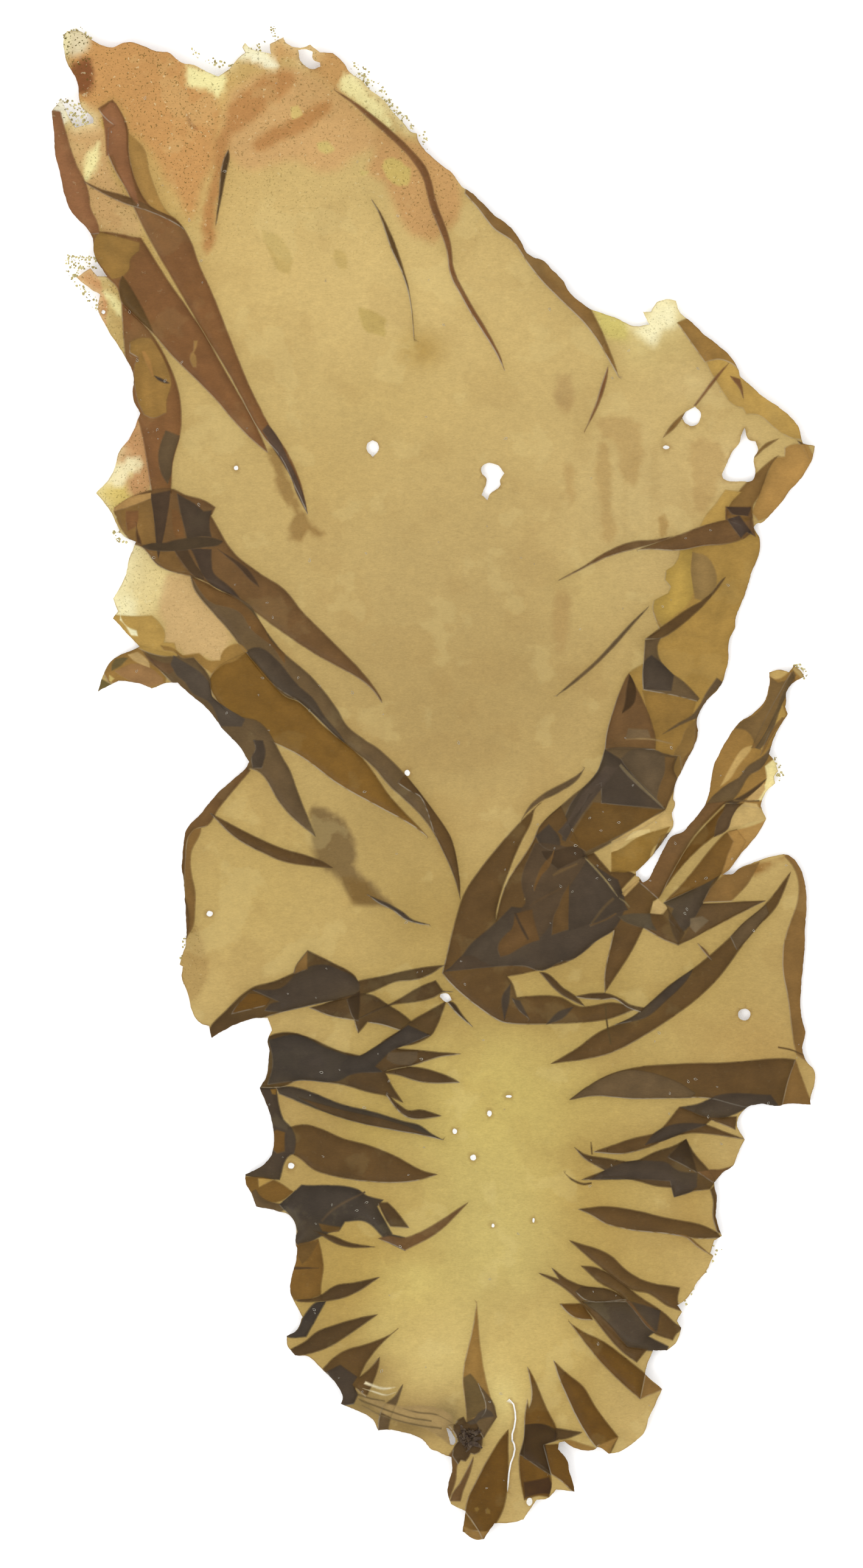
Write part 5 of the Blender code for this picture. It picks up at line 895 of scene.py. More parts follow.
# Patches of another tone with a fairly clear edge: bleached scraps, rubbed places, single skin that shows
# between folds. Each has a colour, the softness of its edge, how speckled it is, and its outline.
PALE = (246, 234, 168)
PALE_YELLOW = (250, 238, 184)
HAZE = (133, 109, 71)
MARGIN_BROWN = (152, 112, 62)
ORANGE = (203, 152, 94)
SMEAR = (188, 137, 84)
PATCHES = [
    ((214, 206, 150), 0.7, 1.0, [12, 2270, 52, 2274, 64, 2252, 62, 2224, 44, 2208, 20, 2216]),
    (ORANGE, 0.9, 0.65, [59, 2258, 96, 2255, 130, 2257, 174, 2242, 206, 2216, 208, 2184, 247, 2168,
     253, 2141, 247, 2105, 240, 2063, 228, 2036, 219, 2000, 206, 1982, 187, 2018, 169, 2050, 146, 2091,
     130, 2109, 110, 2109, 110, 2141, 91, 2159, 68, 2146, 55, 2141, 41, 2164, 27, 2205, 25, 2249]),
    ((206, 166, 112), 0.7, 0.5, [17, 2109, 41, 2126, 59, 2132, 71, 2137, 87, 2127, 80, 2109, 82, 2086,
     92, 2054, 110, 2018, 119, 2000, 130, 1972, 132, 1954, 82, 1956, 71, 1968, 59, 2000, 55, 2018,
     32, 2073]),
    ((204, 158, 100), 0.8, 0.5, [288, 2226, 320, 2210, 352, 2223, 384, 2205, 411, 2187, 434, 2173,
     459, 2210, 437, 2234, 429, 2238, 397, 2242, 352, 2258, 333, 2252]),
    ((208, 166, 110), 1.0, 0.35, [270, 2170, 340, 2210, 420, 2180, 470, 2140, 500, 2095, 460, 2075,
     410, 2050, 350, 2070, 300, 2055, 265, 2080, 258, 2120]),
    ((202, 157, 102), 0.9, 0.5, [489, 2123, 521, 2109, 565, 2086, 605, 2050, 610, 1990, 575, 1945,
     537, 1961, 516, 2000, 498, 2036, 475, 2054, 484, 2091]),
    (SMEAR, 0.6, 0.4, [361, 2200, 333, 2203, 301, 2180, 269, 2155, 258, 2123, 247, 2100, 242, 2054,
     235, 2009, 228, 1981, 226, 1948, 232, 1931, 242, 1945, 246, 1972, 251, 2009, 260, 2073, 269, 2105,
     292, 2121, 320, 2141, 347, 2168, 365, 2189]),
    (SMEAR, 0.5, 0.3, [416, 2159, 384, 2146, 352, 2127, 320, 2109, 297, 2091, 308, 2079, 338, 2095,
     374, 2109, 400, 2125, 418, 2146]),
    ((216, 188, 116), 0.2, 0.1, [358, 2150, 370, 2153, 374, 2139, 363, 2134]),
    ((206, 182, 112), 0.25, 0.1, [397, 2095, 413, 2098, 425, 2086, 411, 2077, 400, 2082]),
    ((206, 180, 106), 0.25, 0.1, [495, 2073, 516, 2075, 539, 2057, 534, 2032, 516, 2036, 498, 2054]),
    ((208, 184, 114), 0.2, 0.1, [461, 2057, 477, 2054, 475, 2045, 463, 2047]),
    ((196, 168, 104), 0.25, 0.1, [317, 1963, 338, 1958, 361, 1926, 356, 1897, 338, 1908, 322, 1936]),
    ((198, 170, 106), 0.25, 0.1, [425, 1936, 436, 1931, 442, 1908, 429, 1908, 422, 1922]),
    ((194, 168, 102), 0.25, 0.1, [459, 1851, 479, 1847, 502, 1831, 498, 1808, 470, 1817]),
    ((166, 116, 72), 0.25, 0.2, [201, 2143, 210, 2132, 219, 2116, 210, 2118, 203, 2132]),
    ((186, 148, 78), 0.3, 0.2, [71, 2137, 94, 2127, 96, 2118, 84, 2116, 71, 2127]),
    (PALE_YELLOW, 0.5, 0.8, [-5, 2275, 26, 2272, 34, 2254, 26, 2232, 12, 2226, -4, 2240]),
    (PALE, 0.35, 0.5, [200, 2213, 258, 2200, 258, 2180, 249, 2167, 236, 2174, 205, 2182]),
    ((252, 245, 208), 0.35, 0.5, [280, 2220, 290, 2245, 330, 2230, 343, 2206, 325, 2208, 300, 2217]),
    (PALE, 0.35, 0.5, [43, 2035, 52, 2076, 72, 2100, 68, 2062, 56, 2036]),
    (PALE, 0.30, 0.4, [434, 2189, 439, 2195, 448, 2195, 462, 2182, 475, 2164, 489, 2157, 498, 2146,
     506, 2133, 515, 2109, 501, 2123, 485, 2135, 467, 2150, 448, 2160, 438, 2169, 434, 2180]),
    (PALE, 0.30, 0.4, [81, 1870, 95, 1868, 105, 1857, 105, 1832, 98, 1842, 87, 1860]),
    ((200, 152, 104), 0.3, 0.6, [96, 1619, 108, 1646, 130, 1680, 146, 1640, 150, 1560, 123, 1561,
     112, 1584, 128, 1603, 135, 1614, 119, 1621, 105, 1612]),
    ((246, 231, 182), 0.3, 0.5, [86, 1607, 105, 1614, 119, 1623, 137, 1616, 128, 1605, 114, 1598,
     110, 1584, 96, 1579, 76, 1586]),
    ((220, 194, 112), 0.3, 0.5, [60, 1570, 80, 1584, 96, 1579, 110, 1584, 114, 1570, 123, 1561, 105, 1552,
     89, 1543, 70, 1552]),
    ((200, 142, 92), 0.25, 0.6, [32, 1908, 55, 1911, 73, 1893, 80, 1875, 85, 1830, 76, 1808, 60, 1842,
     58, 1860, 46, 1874, 32, 1890]),
    ((226, 202, 138), 0.8, 0.35, [85, 1500, 125, 1496, 165, 1486, 168, 1430, 150, 1388, 100, 1386,
     80, 1440]),
    ((252, 243, 196), 0.8, 0.4, [899, 1860, 915, 1866, 936, 1860, 939, 1835, 938, 1822, 916, 1814,
     906, 1792, 892, 1796, 876, 1814, 889, 1824, 898, 1842]),
    ((214, 198, 116), 0.7, 0.3, [810, 1848, 850, 1850, 868, 1828, 860, 1802, 830, 1805]),
    ((208, 174, 120), 0.35, 0.2, [172, 1450, 202, 1451, 210, 1441, 228, 1409, 255, 1378, 273, 1352,
     262, 1337, 253, 1320, 242, 1318, 228, 1326, 202, 1326, 189, 1333, 170, 1348, 170, 1373, 163, 1394,
     168, 1422]),
    ((160, 129, 79), 0.3, 0.1, [325, 1634, 329, 1620, 335, 1599, 339, 1579, 347, 1563, 359, 1551,
     365, 1539, 357, 1520, 359, 1504, 367, 1496, 377, 1504, 383, 1516, 401, 1506, 410, 1502, 410, 1508,
     391, 1524, 383, 1539, 375, 1551, 367, 1571, 355, 1599, 341, 1628, 333, 1640]),
    (HAZE, 0.45, 0.0, [386, 1102, 402, 1099, 414, 1092, 428, 1084, 440, 1074, 450, 1055, 454, 1042,
     458, 1024, 458, 1006, 467, 995, 480, 985, 490, 977, 501, 964, 511, 951, 495, 953, 480, 951, 464, 951,
     454, 953, 446, 969, 438, 982, 428, 995, 417, 1003, 400, 1014, 394, 1030, 390, 1048, 392, 1060]),
    ((128, 101, 60), 0.5, 0.0, [434, 994, 456, 992, 482, 972, 494, 959, 474, 955, 453, 956, 444, 974]),
    ((190, 160, 104), 0.3, 0.0, [816, 1684, 857, 1687, 885, 1678, 887, 1634, 879, 1580, 863, 1583,
     852, 1615, 847, 1646, 832, 1653, 820, 1665]),
    ((188, 158, 102), 0.3, 0.0, [820, 1646, 832, 1649, 838, 1615, 838, 1552, 844, 1507, 838, 1492,
     825, 1498, 822, 1552, 818, 1602]),
    ((188, 158, 102), 0.3, 0.0, [772, 1612, 784, 1608, 787, 1570, 778, 1552, 768, 1558]),
    ((192, 162, 106), 0.3, 0.0, [964, 1643, 980, 1648, 1002, 1646, 1010, 1624, 1005, 1596, 996, 1570,
     980, 1539, 964, 1542, 959, 1577, 957, 1615]),
    ((182, 150, 94), 0.25, 0.0, [911, 1533, 920, 1540, 926, 1529, 923, 1507, 914, 1504]),
    ((180, 150, 96), 0.35, 0.0, [753, 1419, 775, 1422, 778, 1381, 772, 1330, 756, 1327, 750, 1381]),
    ((186, 156, 102), 0.35, 0.0, [758, 1745, 774, 1746, 782, 1714, 772, 1690, 756, 1704]),
    ((136, 88, 56), 0.35, 0.3, [30, 2210, 46, 2224, 60, 2226, 64, 2190, 56, 2168, 44, 2172, 32, 2194]),
    (MARGIN_BROWN, 0.5, 0.2, [1007, 998, 1042, 996, 1076, 1012, 1104, 1031, 1099, 1022, 1060, 1012,
     1030, 1006]),
    ((252, 240, 176), 0.5, 0.6, [1076, 1310, 1106, 1310, 1096, 1286, 1082, 1289]),
    ((252, 240, 176), 0.5, 0.6, [1116, 1310, 1134, 1308, 1132, 1286, 1120, 1288]),
    ((228, 212, 172), 0.6, 0.9, [26, 2264, 54, 2262, 59, 2240, 44, 2226, 32, 2222, 24, 2234]),
    ((244, 238, 214), 0.5, 0.9, [-2, 2164, 14, 2166, 34, 2158, 30, 2136, 16, 2124, 6, 2130]),
    ((250, 240, 190), 0.7, 0.4, [86, 1418, 120, 1420, 126, 1386, 108, 1372, 96, 1384]),
    ((246, 224, 146), 0.6, 0.5, [1063, 1174, 1092, 1166, 1092, 1124, 1072, 1116, 1062, 1136]),
    ((180, 150, 94), 0.5, 0.3, [192, 930, 212, 924, 228, 890, 232, 850, 222, 816, 204, 804, 190, 860]),
]
CRISP = 0.3
PATCH_SPACING = 0.45
PATCH_CORNER = 60
PATCH_TEARS = ((8, 0.30), (3, 0.18), (1, 0.08))
PATCH_SEED = 90
patch_loops = [smooth_loop(in_mm(points), PATCH_SPACING, PATCH_CORNER) for _, _, _, points in PATCHES]
patch_loops = [ragged(loop, PATCH_TEARS, PATCH_SEED + seed) for seed, loop in enumerate(patch_loops)]

# The skin itself: a fine closed mesh with a row of corners on each fold and one on each side of it, so
# that the fold keeps a crisp edge. It lies as the solid does: on a flat patch under its weight, with its
# margin lifting a little.
SKIN_THICKNESS = 0.6
LAYER_RISE = 0.17
WEIGHT = np.array([1.7, 2.4])
PATCH = np.array([18.0, 27.0])
LIFT_REACH = 110.0
MARGIN_LIFT = 1.4
COCKLE_HEIGHT = 0.45
COCKLE_START = 0.3
COCKLE_LENGTHS = (46.0, 58.0)
FACE_GRID = 0.74
FACE_SEED = 5
BACK_GRID = 1.8
BACK_SEED = 6
GRID_SHAKE = 0.18
FOLD_SIDE = 0.15
FOLD_CREST = 0.45
# Widths of the painted crease shade and painted highlight along each fold edge, and the way a lit edge
# faces.
CREASE_WIDTH = 0.10
GLINT_WIDTH = 0.07
GLINT_SIDE = np.array([-0.75, -0.66])
MARGIN_RIM = 0.22
PINHOLE_EDGE = 0.09


def lift(places):
    """Height of the underside, in millimetres, for drawn places."""
    row = places - DRAWN_MIDDLE
    past = np.linalg.norm(np.maximum(0, np.abs(row - WEIGHT) - PATCH), axis=1) / LIFT_REACH
    ripple = 1 + (np.sin(2 * pi * row[:, 0] / COCKLE_LENGTHS[0])
                  * np.cos(2 * pi * row[:, 1] / COCKLE_LENGTHS[1]))
    return MARGIN_LIFT * past**2 + COCKLE_HEIGHT * np.minimum(1, past / COCKLE_START) * ripple


def scattered(spacing, seed):
    """Rows of points over the whole box, each moved a little so that no row shows."""
    dice = np.random.default_rng(seed)
    low, high = margin.min(axis=0), margin.max(axis=0)
    across, up = np.meshgrid(np.arange(low[0], high[0], spacing), np.arange(low[1], high[1], spacing))
    across[1::2] += spacing / 2
    points = np.stack([across.ravel(), up.ravel()], axis=1)
    return points + dice.uniform(-GRID_SHAKE, GRID_SHAKE, points.shape) * spacing


def triangles(places, edges, outlines):
    """Triangles over places that keep given edges, and the places and outlines that each comes from."""
    corners = [Vector(place) for place in places]
    verts, _, faces, sources, _, owners = delaunay_2d_cdt(corners, edges, outlines, 0, 1e-4, True)
    return np.array([tuple(vert) for vert in verts]), np.array(faces), sources, owners


def face_side():
    """The upper side: corners on the margin, on the holes and in three rows along each fold."""
    places, edges, outlines, count = [], [], [], 0
    for loop in [margin] + holes:
        outlines.append(list(range(count, count + len(loop))))
        places.append(loop)
        count += len(loop)
    rows = [(loop, step) for loop in fold_loops for step in (-FOLD_SIDE, 0.0, FOLD_SIDE)]
    rows += [(loop, step) for (_, softness, _, _), loop in zip(PATCHES, patch_loops) if softness < CRISP
             for step in (-softness, softness)]
    rows += [(loop, -MARGIN_RIM) for loop in [margin] + holes]
    rows += [(loop, step) for loop in pinholes for step in (0.0, PINHOLE_EDGE)]
    for loop, step in rows:
        row = loop + sideways(loop) * step
        edges += [(count + place, count + (place + 1) % len(row)) for place in range(len(row))]
        places.append(row)
        count += len(row)
    places.append(scattered(FACE_GRID, FACE_SEED))
    verts, faces, _, owners = triangles(np.concatenate(places), edges, outlines)
    kept = np.array([0 in owner and max(owner) == 0 for owner in owners])
    faces = faces[kept]
    used, numbers = np.unique(faces, return_inverse=True)
    return verts[used], numbers.reshape(faces.shape)


def rim_of(faces, count):
    """The sides that only one triangle has, each in that triangle's direction."""
    sides = np.concatenate([faces[:, [0, 1]], faces[:, [1, 2]], faces[:, [2, 0]]]).astype(np.int64)
    return sides[~np.isin(sides[:, 0] * count + sides[:, 1], sides[:, 1] * count + sides[:, 0])]


def back_side(rim_places, rim_sides):
    """The underside: the same rim, and fewer corners between."""
    free = np.concatenate([scattered(BACK_GRID, BACK_SEED)] + [loop[::2] for loop in fold_loops])
    free = free[inside(rim_places[rim_sides[:, 0]], rim_places[rim_sides[:, 1]], free)]
    verts, faces, sources, _ = triangles(np.concatenate([rim_places, free]), rim_sides.tolist(), [])
    middles = verts[faces].mean(axis=1)
    faces = faces[inside(rim_places[rim_sides[:, 0]], rim_places[rim_sides[:, 1]], middles)]
    return verts, faces, sources


top, top_faces = face_side()
rim = rim_of(top_faces, len(top))
rim_corners, rim_sides = np.unique(rim, return_inverse=True)
rim_sides = rim_sides.reshape(rim.shape)
under, under_faces, under_sources = back_side(top[rim_corners], rim_sides)
under_of_rim = np.full(len(rim_corners), -1)
for number, source in enumerate(under_sources):
    for origin in source:
        if origin < len(rim_corners):
            under_of_rim[origin] = number

STAIN_TONE = (160, 128, 78)
STAIN_EDGE = 0.25
# The tone of the painted shadow just outside each fold.
FOLD_SHADOW_TONE = (122, 98, 48)
RIM_TONE = (120, 88, 50)
GROUND_TONE = (253, 252, 248)

# Where the margin is bleached: middle x and y, half width and half height of the place, how far in the
# bleaching reaches, and its strength.
BLEACHED = [
    (9.5, 159.0, 5.0, 6.0, 0.9, 0.6),
    (11.5, 144.5, 7.0, 7.5, 3.0, 0.95),
    (9.5, 136.5, 3.0, 3.0, 1.0, 0.6),
    (91.0, 184.0, 6.0, 5.0, 1.5, 0.6),
    (110.0, 130.0, 5.0, 3.0, 1.0, 0.8),
    (108.5, 115.0, 3.5, 4.0, 1.4, 0.9),
    (5.0, 213.0, 4.0, 3.0, 0.8, 0.7),
    (6.0, 187.0, 4.0, 6.0, 0.8, 0.5),
    (50.0, 216.0, 8.0, 7.0, 0.7, 0.6),
    (30.0, 223.0, 12.0, 4.0, 0.6, 0.5),
]
BLEACH_EDGE = 0.4
STREAK_SEED = 200
STREAK_SHADE = 0.022
STREAK_WAVES = ((30.0, 4.5, 0.8), (24.0, 2.1, 0.6), (17.0, 1.1, 0.35), (9.0, 9.0, 0.8))
GLINT_RUN = 5.0
HEAP_CREST = 1.1
FOLD_REACH = 3.0
EDGE_BLUR = 0.06
NEAR_SHADOW = (0.07, 0.5)
FAR_SHADOW = (0.06, 1.6)
FOLD_LIGHT = 0.97
FOLD_SWELL = 0.05
STAIN_COVERED = 0.75
FRAY_COVERED = 0.6
CREASE_COVERED = 0.6
RIM_SHARE = 0.42

# How clear the edge of a fold is, by its layers, in its painted shadow, painted crease shade and painted
# glint: a heap of five sinks under its own skin, and what has no layers of its own is only another layer
# showing through.
FOLD_EDGES = {0: 0.12, 1: 0.5, 2: 0.8, 3: 1.0, 5: 0.35}


def blend(tones, colour, share):
    """Move tones towards a colour by a share of the way."""
    return tones + (np.array(colour, dtype=float) - tones) * share[:, None]


def streaks(places, loop, seed):
    """Light and dark streaks along a fold, from less than nothing to more."""
    middle = loop.mean(axis=0)
    _, _, axes = np.linalg.svd(loop - middle, full_matrices=False)
    along, across = ((places - middle) @ axes.T).T
    dice = np.random.default_rng(seed)
    sum_of_waves = np.zeros(len(places))
    for length, width, weight in STREAK_WAVES:
        turn = dice.uniform(0, 2 * pi, 3)
        bend = 0.5 * width * np.sin(2 * pi * along / length + turn[0])
        sum_of_waves += weight * (np.sin(2 * pi * (across + bend) / width + turn[1])
                                  * np.cos(2 * pi * along / (2.3 * length) + turn[2]))
    return sum_of_waves


def speckle_zone(places):
    """How strongly the film is speckled: most at the top and along the left, hardly at all low down."""
    x, y = places.T
    high = ramp(y, 184, 218) * (1 - 0.5 * ramp(x, 30, 70))
    left = ramp(22 - x, 0, 12) * ramp(y, 120, 150)
    return 0.06 + 0.44 * np.maximum(high, 0.8 * left)


def from_margin(places):
    """Distance from each place to the nearest torn edge, near enough for its colour."""
    torn = np.concatenate([margin] + holes)
    tree = kdtree.KDTree(len(torn))
    for number, place in enumerate(torn):
        tree.insert((place[0], place[1], 0.0), number)
    tree.balance()
    return np.array([tree.find((x, y, 0.0))[2] for x, y in places])


def off_middle(places, middle_x, middle_y, across, up):
    """How far out in an oval each place lies: nothing in its middle, 1 on its edge, and squared."""
    return ((places[:, 0] - middle_x) / across)**2 + ((places[:, 1] - middle_y) / up)**2


def looks(places):
    """Colour with painted fold shadows, height over the single layer, painted crease shade and glint,
    fraying and water marks for drawn places.
    """
    tones = np.tile(np.array(BASE_TONE, dtype=float), (len(places), 1))
    for *oval, colour, strength in WASHES:
        tones = blend(tones, colour, strength * np.exp(-off_middle(places, *oval)))
    for *oval, strength in STAINS:
        within = ramp(1 - off_middle(places, *oval), 0.0, STAIN_EDGE)
        tones = blend(tones, STAIN_TONE, strength * within)
    fray = speckle_zone(places)
    stain = np.ones(len(places))
    for (colour, softness, speckle, _), loop in zip(PATCHES, patch_loops):
        rows = near(loop, places, softness + 0.5)
        depth, _ = depth_in(loop, places[rows])
        share = ramp(depth, -softness, softness)
        tones[rows] = blend(tones[rows], colour, share)
        fray[rows] = np.maximum(fray[rows], speckle * share)
    edge = from_margin(places)
    for *oval, reach, strength in BLEACHED:
        within = ramp(1 - off_middle(places, *oval), 0.0, BLEACH_EDGE)
        tones = blend(tones, PALE_YELLOW, strength * within * np.exp(-edge / reach))
    height, crease, glint = np.zeros(len(places)), np.zeros(len(places)), np.zeros(len(places))
    for seed, ((_, layers, colour, _), loop) in enumerate(zip(FOLDS, fold_loops)):
        rows = near(loop, places, FOLD_REACH)
        depth, away = depth_in(loop, places[rows])
        cover = ramp(depth, -EDGE_BLUR, EDGE_BLUR)
        edged = FOLD_EDGES[layers]
        # Painted shadow: the single skin just outside each fold is shaded towards an ochre tone,
        # strongest at the fold's edge.
        outer = np.minimum(depth, 0)
        shadow = (NEAR_SHADOW[0] * np.exp(outer / NEAR_SHADOW[1])
                  + FAR_SHADOW[0] * np.exp(outer / FAR_SHADOW[1]))
        painted_shadow = edged * shadow * (1 - cover)
        tones[rows] = blend(tones[rows], FOLD_SHADOW_TONE, painted_shadow)
        swell = FOLD_LIGHT + FOLD_SWELL * ramp(depth, 0.1, 1.4)
        swell = swell + STREAK_SHADE * streaks(places[rows], loop, STREAK_SEED + seed)
        tones[rows] = blend(tones[rows], (0, 0, 0), cover) + np.outer(cover * swell, colour)
        stain[rows] *= 1 - STAIN_COVERED * cover
        fray[rows] *= 1 - FRAY_COVERED * cover
        if layers:
            crest = ramp(depth, -0.05, FOLD_CREST if edged == 1 else HEAP_CREST)
            rise = (layers - 1) * LAYER_RISE - height[rows]
            height[rows] += np.where(depth > -0.05, rise * crest, 0.0)
        # Painted crease shade: a thin dark line along each fold's edge; a fold laid over it hides most of
        # it.
        line = edged * np.exp(-(depth / CREASE_WIDTH)**2)
        crease[rows] = np.maximum(crease[rows] * (1 - CREASE_COVERED * edged * cover), line)
        # Painted highlight: a thin silvery line on the fold edges that face the lamp, brighter and
        # fainter in turn along them.
        run = 0.5 + 0.5 * np.sin(places[rows].sum(axis=1) / GLINT_RUN + seed)
        facing = edged * run * np.clip(away @ GLINT_SIDE, 0, 1)
        glint[rows] = np.maximum(glint[rows] * (1 - edged * cover),
                                 facing * np.exp(-(depth / GLINT_WIDTH)**2))
    for loop in pinholes:
        rows = near(loop, places, 1.0)
        depth, _ = depth_in(loop, places[rows])
        tones[rows] = blend(tones[rows], RIM_TONE, 0.35 * np.exp(-(depth / 0.25)**2))
        tones[rows] = blend(tones[rows], GROUND_TONE, ramp(depth, -0.06, 0.0))
    rim = np.exp(-(edge / (0.6 * MARGIN_RIM))**2) * (0.6 + 0.4 * np.sin(places @ np.array([0.9, 1.3])))
    tones = blend(tones, RIM_TONE, RIM_SHARE * rim)
    return tones, height, crease, glint, fray, stain


top_tones, top_height, top_crease, top_glint, top_fray, top_stain = looks(top)
under_tones, _, under_crease, _, under_fray, under_stain = looks(under)
top_z = lift(top) + SKIN_THICKNESS + top_height
under_z = lift(under)
UNDER = len(top)

corners = np.concatenate([np.column_stack([top - DRAWN_MIDDLE, top_z]),
                          np.column_stack([under - DRAWN_MIDDLE, under_z])]) * MM
side_walls = [(rim_corners[b], rim_corners[a], UNDER + under_of_rim[a], UNDER + under_of_rim[b])
              for a, b in rim_sides]
faces = top_faces.tolist() + (under_faces[:, ::-1] + UNDER).tolist()
faces += [tuple(map(int, wall)) for wall in side_walls]


def add(tree, kind, settings=None, inputs=None):
    """A new node with its settings, each input given a value or linked from another node's socket."""
    node = tree.nodes.new(kind)
    for name, value in (settings or {}).items():
        setattr(node, name, value)
    for name, value in (inputs or {}).items():
        if isinstance(value, bpy.types.NodeSocket):
            tree.links.new(value, node.inputs[name])
        else:
            node.inputs[name].default_value = value
    return node


def noise(tree, place, scale, detail=3.0, low=0.0, high=1.0, floor_level=0.3, top_level=0.7):
    """Noise at a place, spread out to run from low to high."""
    texture = add(tree, "ShaderNodeTexNoise", None, {"Vector": place, "Scale": scale, "Detail": detail})
    return add(tree, "ShaderNodeMapRange", {"clamp": True},
               {"Value": texture.outputs["Fac"], "From Min": floor_level, "From Max": top_level,
                "To Min": low, "To Max": high}).outputs["Result"]


def times(tree, first, second):
    """The product of two values."""
    return add(tree, "ShaderNodeMath", {"operation": "MULTIPLY"}, {0: first, 1: second}).outputs[0]


def plus(tree, first, second):
    """The sum of two values."""
    return add(tree, "ShaderNodeMath", {"operation": "ADD"}, {0: first, 1: second}).outputs[0]


def film_grain():
    """The grain of the dried film: how light it is from place to place, and the normal of its surface."""
    tree = bpy.data.node_groups.new("film_grain", "ShaderNodeTree")
    tree.interface.new_socket("Lightness", in_out="OUTPUT", socket_type="NodeSocketFloat")
    tree.interface.new_socket("Normal", in_out="OUTPUT", socket_type="NodeSocketVector")
    outside = tree.nodes.new("NodeGroupOutput")
    place = add(tree, "ShaderNodeTexCoord").outputs["Object"]
    fibres = add(tree, "ShaderNodeMapping", None, {"Vector": place, "Scale": (0.45, 1.25, 1.0)})
    along = fibres.outputs["Vector"]
    fine = times(tree, noise(tree, along, 5200.0, 3.0, 0.93, 1.07),
                 noise(tree, along, 1900.0, 4.0, 0.96, 1.04))
    clots = noise(tree, place, 850.0, 4.0, 0.965, 1.035)
    clouds = noise(tree, place, 85.0, 4.0, 0.96, 1.04)
    light = times(tree, times(tree, fine, clots), clouds)
    tree.links.new(light, outside.inputs["Lightness"])
    wrinkles = noise(tree, along, 900.0, 5.0)
    pores = noise(tree, place, 4200.0, 2.0)
    relief = plus(tree, times(tree, wrinkles, 0.75), times(tree, pores, 0.25))
    bump = add(tree, "ShaderNodeBump", None, {"Height": relief, "Strength": 0.30, "Distance": 0.06 * MM})
    tree.links.new(bump.outputs["Normal"], outside.inputs["Normal"])
    return tree


def dried_water():
    """Where drying water left the film a little darker or a little lighter, with a clear edge."""
    tree = bpy.data.node_groups.new("dried_water", "ShaderNodeTree")
    for name in ("Dark", "Light"):
        tree.interface.new_socket(name, in_out="OUTPUT", socket_type="NodeSocketFloat")
    outside = tree.nodes.new("NodeGroupOutput")
    place = add(tree, "ShaderNodeTexCoord").outputs["Object"]
    moved = add(tree, "ShaderNodeMapping", None, {"Vector": place, "Location": (0.31, 0.17, 0.0)})
    dark = noise(tree, place, 95.0, 7.0, 0.0, 1.0, 0.55, 0.585)
    rim = noise(tree, place, 95.0, 7.0, 0.0, 0.6, 0.50, 0.62)
    light = noise(tree, moved.outputs["Vector"], 120.0, 7.0, 0.0, 1.0, 0.57, 0.61)
    tree.links.new(times(tree, plus(tree, dark, rim), 0.7), outside.inputs["Dark"])
    tree.links.new(light, outside.inputs["Light"])
    return tree


grain = film_grain()
water_marks = dried_water()
MARK_TONE = (150, 112, 62)
CLEAR_TONE = (236, 216, 150)
# The tone of the painted highlight on lit fold edges.
GLINT_TONE = (206, 196, 176)
SPECK_TONE = (96, 84, 40)
FLECK_TONE = (250, 240, 192)
MARK_SHARE = 0.10
CLEAR_SHARE = 0.12
GLINT_SHARE = 0.45
# How light a crease is left by its painted shade.
CREASE_LIGHT = 0.80
FOLD_UNEVEN = 0.14


